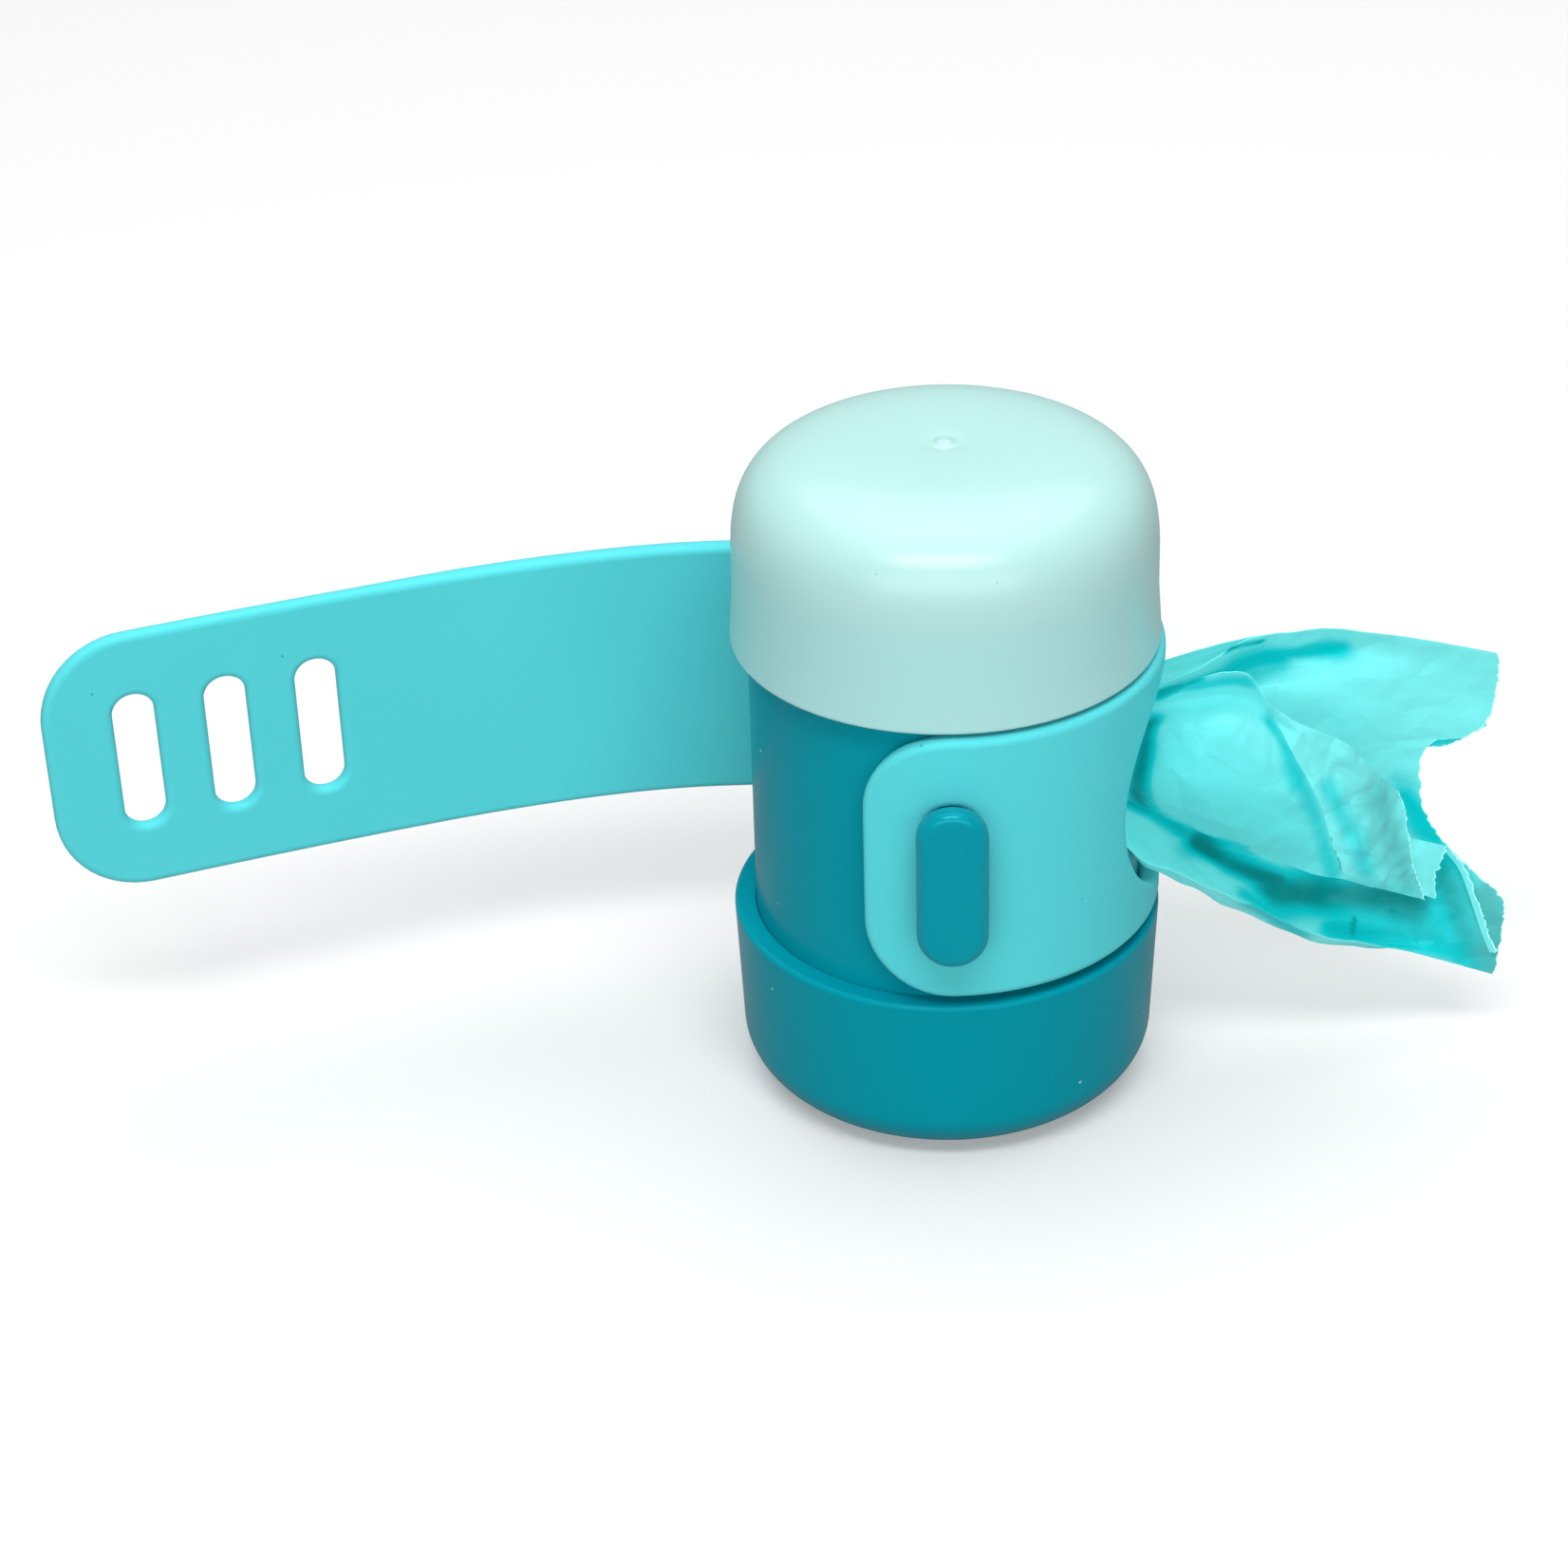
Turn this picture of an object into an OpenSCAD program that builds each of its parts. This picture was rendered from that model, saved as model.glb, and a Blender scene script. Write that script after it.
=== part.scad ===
// Dog poop bag dispenser: a round two-tone case with a lift-off cap, a roll of bags inside,
// a bag drawn out of the side, and a silicone strap that buttons over a stud.
// The case axis is Z, the foot stands on z = 0, and the bags come out towards +X.

/* [Bag roll] */
// Outer diameter of a full roll of bags
roll_d = 33; // [30:0.5:36]
// Height of the roll, which is the width of the folded bags
roll_h = 60; // [58:0.5:66]
// Outer diameter of the paper core
core_d = 16; // [14.5:0.5:20]
// Wall of the paper core
core_wall = 1; // [0.6:0.1:1.5]

/* [Body tube] */
// Radial room between the full roll and the tube's wall
roll_room = 2.2; // [1.8:0.1:4]
// Wall of the body tube
tube_wall = 1.5; // [1.2:0.1:2]
// Diameter of the round hole that the bags come out of
outlet_d = 21.6; // [20:0.2:24]
// Lead-in chamfer on the tube's ends
tube_chamfer = 0.3; // [0.1:0.1:0.6]

/* [Base cup] */
// Height of the cup's ledge above the foot
cup_h = 20.2; // [16:0.2:24]
// Width of the ledge round the tube
cup_ledge = 2.3; // [1.8:0.1:3.5]
// How far the cup narrows from its ledge down to the bottom corner
cup_draft = 0.6; // [0:0.1:1]
// Radial size of the rounded bottom corner
corner_r = 7.8; // [6:0.2:9]
// Height of the rounded bottom corner
corner_h = 5.9; // [5:0.1:7]
// Thickness of the floor
floor_t = 1.8; // [1.2:0.1:2.4]
// Depth of the socket that holds the tube
socket_h = 14.2; // [9:0.2:14.4]
// Radius of the corner inside the cup
inner_corner = 2.5; // [1.5:0.1:3]
// Height of the post that centres the roll's core
post_h = 10; // [6:0.5:20]
// Wall of the centring post
post_wall = 1.3; // [1:0.1:2]

/* [Cap] */
// Wall of the cap where it slides over the tube
cap_wall = 1.8; // [1.4:0.1:2.6]
// How far the cap narrows from its rim up to the dome
cap_draft = 0.4; // [0:0.1:0.6]
// Height of the dome above the cap's straight wall
dome_h = 15.4; // [12:0.2:22]
// Squareness of the dome's outline, where 2 is an ellipse
dome_power = 4.15; // [3.6:0.05:5]
// How far the straight wall stops short of the tube's top
dome_drop = 4.8; // [3.6:0.2:5.2]
// Thickness of the dome at its centre
dome_t = 1.6; // [1.2:0.1:2.4]
// Width of the shoulder that rests on the tube's top
shoulder_w = 1; // [0.6:0.1:1.3]
// Diameter of the moulding gate's nub on the dome
nub_d = 1.8; // [1:0.1:3]
// Height of the nub
nub_h = 0.3; // [0.1:0.1:0.6]

/* [Strap] */
// Width of the strap, up the case
strap_w = 30; // [26:0.5:34]
// Thickness of the strap
strap_t = 2.2; // [1.8:0.1:3]
// Thickness of the slotted end, which lies over the first layer
strap_tip_t = 1.8; // [1.4:0.1:2.2]
// Room between the ledge and the strap
strap_room_low = 1.1; // [0.4:0.1:2]
// Room between the strap and the cap's rim
strap_room_top = 0.5; // [0.3:0.1:2]
// Angle round the case from the stud to the strap's near end
near_end_angle = 23.5; // [20:0.5:35]
// Radius of the corners at the near end
near_corner_r = 8.5; // [4:0.5:12]
// Diameter of the round hole in the strap that the bags pass
strap_hole_d = 26.4; // [24.5:0.2:27]
// Length from the back of the case to the first bend
first_len = 14.8; // [12:0.1:18]
// Length from each bend to the next
bend_len = 14.3; // [12:0.1:18]
// Length of the slotted end past the last bend
tip_len = 24.3; // [23:0.1:30]
// Radius of the corners at the free end
tip_corner_r = 9.5; // [4:0.5:12]
// Width of each buttonhole slot
slot_w = 4.5; // [4:0.1:5.5]
// Height of each slot
slot_h = 15.8; // [12:0.2:18]
// Distance from slot to slot
slot_pitch = 9.75; // [9.5:0.05:10.5]
// Distance from the last bend to the middle of the first slot past it
slot_start = 4.95; // [4:0.05:6]

/* [Stud] */
// Place of the stud round the case, where 0 is the bag hole
stud_angle = -91.5; // [-100:0.5:-80]
// Side clearance of the neck in a strap slot, each side
neck_side_gap = 0.2; // [0.1:0.05:0.5]
// End clearance of the neck in a strap slot, each end
neck_end_gap = 0.45; // [0.1:0.05:0.6]
// How far the head stands out round the neck
head_lip = 1.55; // [1:0.05:2]
// Thickness of the head
head_t = 2; // [1.2:0.1:3]
// Thickness of the flange inside the tube
flange_t = 1; // [0.6:0.1:1.2]
// How far the flange stands out round the neck
flange_lip = 1.2; // [0.8:0.1:2]

/* [Drawn-out bag] */
// Thickness that stands for the crumpled layers of film
film_t = 1.2; // [0.8:0.1:2]
// Width of the gathered film where it leaves the case
gather_w = 6; // [5:0.5:8]
// Height of the gathered film where it leaves the case
gather_h = 20; // [16:0.5:20]
// Length of the gathered stretch
gather_len = 7; // [5:0.5:9]
// Length of bag that can be drawn out further
pull_len = 20; // [10:1:30]
// Height of the flat stretch that follows the bag out
lead_h = 16; // [12:0.5:16]
// Thickness of that stretch
lead_t = 0.6; // [0.4:0.1:0.8]
// Angle by which the front fold swings away from the back layer
fold_angle = 14; // [8:1:20]

/* [Fits] */
// Radial clearance of a push fit
push_fit = 0.05; // [0.02:0.01:0.1]
// Radial clearance of the core on its post
post_fit = 0.1; // [0.05:0.01:0.1]
// Clearance of the neck in the tube and in the band, each side
neck_fit = 0.1; // [0.05:0.01:0.2]
// Small gap between pieces that move past each other
near_gap = 0.3; // [0.2:0.05:0.4]

/* [Hidden] */
$fn = 96;

// Colours
teal = [0.0, 0.55, 0.62];
mint = [0.76, 0.92, 0.90];
aqua = [0.35, 0.82, 0.83];
film = [0.40, 0.92, 0.90];
kraft = [0.74, 0.60, 0.42];

// Heights and radii of the case
roll_r = roll_d / 2;
tube_ri = roll_r + roll_room;
tube_r = tube_ri + tube_wall;
bore_r = tube_r + push_fit;
cup_r = tube_r + cup_ledge;
cap_r = tube_r + cap_wall;
tube_z = cup_h - socket_h;
roll_z = floor_t + near_gap;
tube_top = roll_z + roll_h;
strap_z = cup_h + strap_room_low;
strap_mid = strap_z + strap_w / 2;
cap_rim = strap_z + strap_w + strap_room_top;
dome_z = tube_top - dome_drop;
dome_r = cap_r - cap_draft;
cap_top = dome_z + dome_h;
inner_dome_h = cap_top - dome_t - tube_top;
core_ri = core_d / 2 - core_wall;
post_r = core_ri - post_fit;

// Edges and small features of the case
edge_r = 0.5;
rim_r = 0.35;
post_round = 0.6;
nub_sink = 0.3;
arc_step = 6;
arc_steps = 5;
dome_step = 3;
corner_power = 2.1;

// The strap lies on the tube, then leaves it at the back in a line of short flat stretches
band_ri = tube_r + push_fit;
band_r = band_ri + strap_t;
bends = [0, 2, 7, 6, 3, 1];
stretch_lens = [first_len, bend_len, bend_len, bend_len, bend_len, tip_len];
tip_slots = [slot_start, slot_start + slot_pitch];
inner_slot = bend_len + slot_start - slot_pitch;
back_angle = 90;
wedge_steps = 4;
corner_start = 0.3;
end_reach = 1.5;
cut_over = 2;

// The stud takes its neck from the strap's slots
neck_w = slot_w - 2 * neck_side_gap;
neck_h = slot_h - 2 * neck_end_gap;
head_ri = band_r + strap_tip_t;
head_r = head_ri + head_t;
flange_r = tube_ri - push_fit;
neck_root = flange_t / 2;

// The bag leaves the case through the middle of the strap's height
bag_x = roll_r + roll_room + near_gap / 2;
lead_x = roll_r + near_gap;
lead_end = bag_x + pull_len + cut_over;
channel_t = lead_t + 2 * near_gap;
channel_h = lead_h + 2 * near_gap;
film_in = channel_t / 2;
fold_start = 1.5;

// Outline of the back layer: distance out from the gather's inner end, and height from the hole's middle
back_outline = [
    [2, 9.5], [7.5, 11.3], [13, 12.8], [22, 13.3], [32.5, 11.1], [38.3, 9.8], [38.5, 5], [37.3, 1.2],
    [34.5, -0.4], [31.5, -1.3], [31, -6], [32.5, -10.8], [38, -17.8], [40.8, -21], [40.8, -25.5],
    [40.3, -30.2], [29, -26.2], [21, -25.6], [13, -21.5], [6.6, -16.8], [4.6, -13.8], [2.4, -9.5]
];
// Outline of the front fold: distance along the fold, and height from the hole's middle
fold_outline = [
    [0, -5], [0, 6], [6, 10.3], [10, 11.3], [13, 6.8], [20, 3.4], [26, -1.9], [28, -10.2],
    [30.5, -15.4], [21.5, -12.9], [10.5, -8.7]
];

// A point round the case axis
function around(r, angle) = [r * cos(angle), r * sin(angle)];

// Turns along the strap's tail, counted from the back of the case
function heading(i) = i == 0 ? bends[0] : heading(i - 1) + bends[i];
function ahead(i) = [-cos(heading(i)), -sin(heading(i))];
function bend_at(i) = i == 0 ? [0, band_ri] : bend_at(i - 1) + stretch_lens[i - 1] * ahead(i - 1);

// Quarter of a superellipse, from its side up to its top, or back without the point on the axis
function dome_point(a, r, h, z, power) = [r * pow(cos(a), 2 / power), z + h * pow(sin(a), 2 / power)];
function side_to_top(r, h, z, power) = [for (a = [0:dome_step:89]) dome_point(a, r, h, z, power)];
function top_to_side(r, h, z, power) = [for (a = [87:-dome_step:0]) dome_point(a, r, h, z, power)];

// Quarter of a superellipse, from the foot's flat up to the wall
function foot_to_side(r_in, r, h, power) = [
    for (a = [0:arc_step:90]) [r_in + r * pow(sin(a), 2 / power), h - h * pow(cos(a), 2 / power)]
];

// Arc of a round corner about its own centre
function corner_arc(cx, cz, r, from, to) = [
    for (i = [0:arc_steps]) [cx, cz] + around(r, from + (to - from) * i / arc_steps)
];

module stadium(w, h) {
    square([w, h - w], center = true);
    for (s = [-1, 1]) translate([0, s * (h - w) / 2]) circle(d = w);
}

// Carries a flat outline out from the case axis at one angle and height
module outward(angle, z, from, to) {
    rotate([0, 0, angle])
        translate([from, 0, z])
            rotate([90, 0, 90])
                linear_extrude(to - from) children();
}

module ring(r_in, r_out, z, h) {
    rotate_extrude() translate([r_in, z]) square([r_out - r_in, h]);
}

module base_cup() {
    color(teal)
        rotate_extrude()
            polygon(concat(
                [[0, 0]],
                foot_to_side(cup_r - cup_draft - corner_r, corner_r, corner_h, corner_power),
                corner_arc(cup_r - edge_r, cup_h - edge_r, edge_r, 0, 90),
                [[bore_r, cup_h], [bore_r, tube_z], [tube_ri, tube_z]],
                corner_arc(tube_ri - inner_corner, floor_t + inner_corner, inner_corner, 0, -90),
                [[post_r, floor_t]],
                corner_arc(post_r - post_round, floor_t + post_h - post_round, post_round, 0, 90),
                [[post_r - post_wall, floor_t + post_h], [post_r - post_wall, floor_t], [0, floor_t]]
            ));
}

module body_tube() {
    color(teal)
        difference() {
            rotate_extrude()
                polygon([
                    [tube_ri, tube_z], [tube_r - tube_chamfer, tube_z],
                    [tube_r, tube_z + tube_chamfer], [tube_r, tube_top - tube_chamfer],
                    [tube_r - tube_chamfer, tube_top], [tube_ri, tube_top]
                ]);
            outward(0, strap_mid, tube_ri - cut_over, tube_r + cut_over) circle(d = outlet_d);
            outward(stud_angle, strap_mid, tube_ri - cut_over, tube_r + cut_over)
                stadium(neck_w + 2 * neck_fit, neck_h + 2 * neck_fit);
        }
}

module top_cap() {
    color(mint) {
        rotate_extrude()
            polygon(concat(
                [[bore_r, cap_rim]],
                corner_arc(cap_r - rim_r, cap_rim + rim_r, rim_r, -90, 0),
                side_to_top(dome_r, dome_h, dome_z, dome_power),
                [[0, cap_top], [0, cap_top - dome_t]],
                top_to_side(bore_r - shoulder_w, inner_dome_h, tube_top, dome_power),
                [[bore_r, tube_top]]
            ));
        translate([0, 0, cap_top - nub_sink]) cylinder(d = nub_d, h = nub_sink + nub_h);
    }
}

module strap_stud() {
    color(teal) {
        outward(stud_angle, strap_mid, flange_r - neck_root, head_ri + neck_root) stadium(neck_w, neck_h);
        intersection() {
            outward(stud_angle, strap_mid, flange_r - 2 * flange_t, tube_r)
                stadium(neck_w + 2 * flange_lip, neck_h + 2 * flange_lip);
            ring(flange_r - flange_t, flange_r, strap_z, strap_w);
        }
        intersection() {
            outward(stud_angle, strap_mid, band_ri, head_r + cut_over)
                stadium(neck_w + 2 * head_lip, neck_h + 2 * head_lip);
            ring(head_ri, head_r, strap_z, strap_w);
        }
    }
}

// What is cut off past the near end and round its corners, drawn flat
module near_end_cut() {
    difference() {
        translate([-2 * strap_w, -strap_w]) square([2 * strap_w - corner_start, 2 * strap_w]);
        translate([-near_corner_r, near_corner_r - strap_w / 2])
            square([near_corner_r, strap_w - 2 * near_corner_r]);
        for (side = [-1, 1])
            translate([0, side * (strap_w / 2 - near_corner_r)]) circle(r = near_corner_r);
    }
}

// A wedge of the plan from one angle round to another, as wide as any piece needs
module wedge(from, to) {
    polygon(concat(
        [[0, 0]],
        [for (i = [0:wedge_steps]) around(2 * band_r, from + (to - from) * i / wedge_steps)]
    ));
}

module strap_band() {
    corner_turn = asin(near_corner_r / band_r);
    corner_angle = stud_angle - near_end_angle + corner_turn;
    color(aqua)
        difference() {
            translate([0, 0, strap_z])
                linear_extrude(strap_w) {
                    difference() {
                        circle(r = band_r);
                        circle(r = band_ri);
                        wedge(back_angle, 360 + corner_angle - end_reach * corner_turn);
                    }
                    translate([-first_len + near_gap / 2, band_ri])
                        square([first_len - near_gap / 2, strap_t]);
                }
            outward(corner_angle, strap_mid, 0, band_r + cut_over) near_end_cut();
            outward(0, strap_mid, tube_ri - cut_over, band_r + cut_over) circle(d = strap_hole_d);
            outward(stud_angle, strap_mid, tube_ri, band_r + cut_over)
                stadium(neck_w + 2 * neck_fit, neck_h + 2 * neck_fit);
        }
}

// One flat stretch of the tail, from bend i to the next, with its slots and its end corners
module tail_stretch(i, t, slots = [], corner = 0) {
    from = near_gap / 2;
    to = corner > 0 ? stretch_lens[i] : stretch_lens[i] - near_gap / 2;
    color(aqua)
        translate([bend_at(i)[0], bend_at(i)[1], strap_mid])
            rotate([90, 0, 180 + heading(i)])
                linear_extrude(t)
                    difference() {
                        union() {
                            translate([from, -strap_w / 2]) square([to - corner - from, strap_w]);
                            if (corner > 0) {
                                translate([from, corner - strap_w / 2])
                                    square([to - from, strap_w - 2 * corner]);
                                for (s = [-1, 1])
                                    translate([to - corner, s * (strap_w / 2 - corner)]) circle(r = corner);
                            }
                        }
                        for (x = slots) translate([x, 0]) stadium(slot_w, slot_h);
                    }
}

module strap_tail_1() { tail_stretch(1, strap_t); }
module strap_tail_2() { tail_stretch(2, strap_t); }
module strap_tail_3() { tail_stretch(3, strap_t); }
module strap_tail_4() { tail_stretch(4, strap_tip_t, [inner_slot]); }
module strap_end() { tail_stretch(5, strap_tip_t, tip_slots, tip_corner_r); }

module roll_core() {
    color(kraft) ring(core_ri, core_d / 2, roll_z, roll_h);
}

module bag_roll() {
    color(film) ring(core_d / 2, roll_r, roll_z, roll_h);
}

// The flat stretch of film between the roll and the bag, which shows as the bag is drawn out
module bag_lead() {
    color(film)
        translate([lead_x, -lead_t / 2, strap_mid - lead_h / 2])
            cube([lead_end - lead_x, lead_t, lead_h]);
}

module bag_tail() {
    color(film)
        difference() {
            union() {
                outward(0, strap_mid, bag_x, bag_x + gather_len) stadium(gather_w, gather_h);
                translate([bag_x, film_in + film_t, strap_mid])
                    rotate([90, 0, 0])
                        linear_extrude(film_t) polygon(back_outline);
                translate([bag_x + fold_start, -film_in, strap_mid])
                    rotate([90, 0, -fold_angle])
                        linear_extrude(film_t) polygon(fold_outline);
            }
            translate([bag_x - cut_over, -channel_t / 2, strap_mid - channel_h / 2])
                cube([pull_len + 3 * cut_over, channel_t, channel_h]);
        }
}

base_cup();
body_tube();
top_cap();
strap_stud();
strap_band();
strap_tail_1();
strap_tail_2();
strap_tail_3();
strap_tail_4();
strap_end();
roll_core();
bag_roll();
bag_lead();
bag_tail();
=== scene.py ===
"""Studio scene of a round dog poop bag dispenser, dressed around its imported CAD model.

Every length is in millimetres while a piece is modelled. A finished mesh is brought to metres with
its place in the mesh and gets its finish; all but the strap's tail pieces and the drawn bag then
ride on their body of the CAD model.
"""

import logging
import math
import random
from contextlib import contextmanager
from dataclasses import dataclass, field
from enum import Enum
from typing import Callable, Iterator, Optional, Sequence

import bmesh
import bpy
import numpy as np
from mathutils import Matrix, Vector, noise


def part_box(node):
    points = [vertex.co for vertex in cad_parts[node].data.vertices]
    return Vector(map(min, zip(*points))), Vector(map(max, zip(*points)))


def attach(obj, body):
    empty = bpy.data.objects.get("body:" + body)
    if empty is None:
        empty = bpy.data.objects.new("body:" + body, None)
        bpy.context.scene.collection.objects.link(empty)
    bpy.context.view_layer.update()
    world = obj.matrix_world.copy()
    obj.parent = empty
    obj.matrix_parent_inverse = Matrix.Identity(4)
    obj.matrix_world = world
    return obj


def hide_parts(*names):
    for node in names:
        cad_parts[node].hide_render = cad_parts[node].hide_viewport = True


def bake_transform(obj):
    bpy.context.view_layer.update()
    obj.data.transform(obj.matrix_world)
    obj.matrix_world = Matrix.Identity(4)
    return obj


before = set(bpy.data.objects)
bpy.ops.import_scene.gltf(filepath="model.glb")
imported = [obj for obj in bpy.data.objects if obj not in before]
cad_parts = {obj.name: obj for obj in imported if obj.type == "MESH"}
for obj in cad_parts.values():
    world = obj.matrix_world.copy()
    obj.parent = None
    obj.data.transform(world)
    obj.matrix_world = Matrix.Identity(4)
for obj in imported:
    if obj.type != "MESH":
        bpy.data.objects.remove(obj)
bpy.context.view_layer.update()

LOG = logging.getLogger("dispenser")
MM = 0.001

Point2 = tuple[float, float]
Point3 = tuple[float, float, float]
Colour = tuple[float, float, float]


class Slot(Enum):
    """The material slots, by name."""

    CASE = "case_teal"
    CAP = "cap_mint"
    STRAP = "strap_silicone"
    FILM = "bag_film"
    CORE = "core_paper"


class Body(Enum):
    """The moving bodies of the CAD model."""

    CASE = "case"
    CAP = "cap"
    ROLL = "roll"
    BAG = "bag"


def box_mm(node: str) -> tuple[Vector, Vector]:
    """Gives the lowest and the highest corner of a CAD node, in millimetres."""
    low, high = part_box(node)
    return low / MM, high / MM


def middle_z(node: str) -> float:
    """Gives the height of a CAD node's middle, in millimetres."""
    low, high = box_mm(node)
    return (low.z + high.z) / 2


# --- Turned outlines ---


@dataclass(frozen=True)
class Corner:
    """One corner of a turned outline: its radius, its height and the size of its round."""

    r: float
    z: float
    round: float = 0.0


@dataclass(frozen=True)
class Outline:
    """A half section that is turned round the case axis."""

    corners: Sequence[Corner]
    arc_steps: int = 7
    hold: float = 0.2

    def points(self) -> list[Point2]:
        """Rounds the corners.

        Returns:
            The outline's points, as radius and height.
        """
        following = [*self.corners[1:], self.corners[0]]
        made: list[Point2] = []
        for i, corner in enumerate(self.corners):
            if corner.round:
                made.extend(self.rounded(self.corners[i - 1], corner, following[i]))
            else:
                made.append((corner.r, corner.z))
        return made

    def rounded(self, before: Corner, corner: Corner, after: Corner) -> list[Point2]:
        """Replaces one corner by an arc, held by a point on either side of it.

        Args:
            before: The corner before it.
            corner: The corner to round.
            after: The corner after it.

        Returns:
            The points.
        """
        tip = np.array((corner.r, corner.z))
        to_before = np.array((before.r, before.z)) - tip
        to_after = np.array((after.r, after.z)) - tip
        room = min(np.linalg.norm(to_before), np.linalg.norm(to_after))
        to_before /= np.linalg.norm(to_before)
        to_after /= np.linalg.norm(to_after)
        half = math.acos(float(np.clip(to_before @ to_after, -1, 1))) / 2
        reach = corner.round / math.tan(half)
        middle = to_before + to_after
        centre = tip + middle / np.linalg.norm(middle) * corner.round / math.sin(half)
        start = tip + to_before * reach
        end = tip + to_after * reach
        hold = min(self.hold, (room - reach) / 3)
        arc = []
        for step in range(self.arc_steps + 1):
            spoke = start + (end - start) * step / self.arc_steps - centre
            arc.append(centre + spoke / np.linalg.norm(spoke) * corner.round)
        held = [start + to_before * hold, *arc, end + to_after * hold]
        return [(float(r), float(z)) for r, z in held]


def superellipse(r: float, h: float, z: float, power: float, steps: int) -> list[Corner]:
    """Quarter of a superellipse, from its side to its top, with even turns of its normal.

    Args:
        r: Radius at the side.
        h: Height from the side to the top.
        z: Height where the side starts.
        power: Squareness, where 2 is an ellipse.
        steps: Number of turns.

    Returns:
        The corners, without the one on the axis.
    """
    made = []
    for step in range(steps):
        slope = math.tan(math.pi / 2 * step / steps)
        ratio = (slope * h / r) ** (1 / (power - 1))
        share = (1 + ratio**power) ** (-1 / power)
        made.append(Corner(r * share, z + h * ratio * share))
    return made


# --- Modelling bench ---


class Piece:
    """One modelled piece on the bench, in millimetres, with the operations that shape it."""

    merge_gap = 0.0002
    end_flat = 0.05

    def __init__(self, obj: bpy.types.Object) -> None:
        """Takes an object onto the bench."""
        self.obj = obj

    @staticmethod
    def clear_selection() -> None:
        """Deselects every object."""
        bpy.ops.object.select_all(action="DESELECT")

    @staticmethod
    def select_whole() -> None:
        """Selects the whole mesh inside edit mode."""
        bpy.ops.mesh.select_all(action="SELECT")

    def activate(self) -> None:
        """Makes the piece the active object, and the only selected one."""
        self.clear_selection()
        self.obj.select_set(True)
        bpy.context.view_layer.objects.active = self.obj

    @staticmethod
    def added(name: str, stretch: Point2 = (1, 1)) -> "Piece":
        """Names the primitive that was just added, and puts its place into its mesh.

        Args:
            name: The piece's name.
            stretch: How often its own width and height are taken.

        Returns:
            The piece.
        """
        obj = bpy.context.object
        obj.name = obj.data.name = name
        obj.scale = (*stretch, 1)
        bpy.context.view_layer.update()
        obj.data.transform(obj.matrix_world)
        obj.matrix_world = Matrix.Identity(4)
        return Piece(obj)

    @classmethod
    def turned(cls, name: str, outline: Outline, steps: int = 192) -> "Piece":
        """Turns an outline round the case axis.

        Args:
            name: The piece's name.
            outline: The half section.
            steps: Number of steps in the full turn.

        Returns:
            The closed piece.
        """
        points = outline.points()
        cls.clear_selection()
        bpy.ops.mesh.primitive_plane_add(size=1, location=(points[0][0], 0, points[0][1]))
        piece = cls.added(name)
        with piece.editing():
            piece.select_whole()
            bpy.ops.mesh.merge(type="CENTER")
            for (r, z), (next_r, next_z) in zip(points, points[1:] + points[:1]):
                step = (next_r - r, 0, next_z - z)
                bpy.ops.mesh.extrude_vertices_move(TRANSFORM_OT_translate={"value": step})
            piece.select_whole()
            bpy.ops.mesh.spin(steps=steps, angle=2 * math.pi, center=(0, 0, 0), axis=(0, 0, 1))
            piece.close()
        return piece

    @classmethod
    def plate(cls, name: str, x: Point2, y: Point2, z: Point2) -> "Piece":
        """Extrudes a flat rectangle into a plate.

        Args:
            name: The piece's name.
            x: Its two ends along X.
            y: Its two ends along Y.
            z: Its lower and upper face.

        Returns:
            The plate.
        """
        cls.clear_selection()
        middle = ((x[0] + x[1]) / 2, (y[0] + y[1]) / 2, z[0])
        bpy.ops.mesh.primitive_plane_add(size=1, location=middle)
        piece = cls.added(name, (x[1] - x[0], y[1] - y[0]))
        with piece.editing("FACE"):
            piece.select_whole()
            lift = (0, 0, z[1] - z[0])
            bpy.ops.mesh.extrude_region_move(TRANSFORM_OT_translate={"value": lift})
            piece.select_whole()
            bpy.ops.mesh.normals_make_consistent(inside=False)
        return piece

    @classmethod
    def pill(cls, name: str, size: Point2, z: Point2, centre: Point2 = (0, 0)) -> "Piece":
        """Extrudes a plate with fully round ends.

        Args:
            name: The piece's name.
            size: Its width along X and its height along Y.
            z: Its lower and upper face.
            centre: The middle of its outline.

        Returns:
            The pill.
        """
        width, height = size
        x = (centre[0] - width / 2, centre[0] + width / 2)
        y = (centre[1] - height / 2, centre[1] + height / 2)
        piece = cls.plate(name, x, y, z)
        piece.round_upright_edges(width / 2 - cls.end_flat, 12)
        return piece

    @classmethod
    def rod(
        cls,
        name: str,
        radius: float,
        depth: float,
        at: Point3,
        lean: float = 0.0,
        stretch: Point2 = (1, 1),
    ) -> "Piece":
        """Adds a round or oval rod, which cuts a hole.

        Args:
            name: The rod's name.
            radius: Its radius before it is stretched.
            depth: Its length.
            at: Its middle.
            lean: Its turn about Y.
            stretch: How often its own width and height are taken.

        Returns:
            The rod.
        """
        cls.clear_selection()
        bpy.ops.mesh.primitive_cylinder_add(
            vertices=96, radius=radius, depth=depth, location=at, rotation=(0, lean, 0)
        )
        return cls.added(name, stretch)

    @contextmanager
    def editing(self, mode: str = "VERT") -> Iterator[None]:
        """Opens the piece alone in edit mode with nothing selected, and closes it afterwards.

        Args:
            mode: What is selected: VERT, EDGE or FACE.
        """
        self.activate()
        bpy.ops.object.mode_set(mode="EDIT")
        bpy.ops.mesh.select_mode(type=mode)
        bpy.ops.mesh.select_all(action="DESELECT")
        yield
        bpy.ops.object.mode_set(mode="OBJECT")

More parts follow.
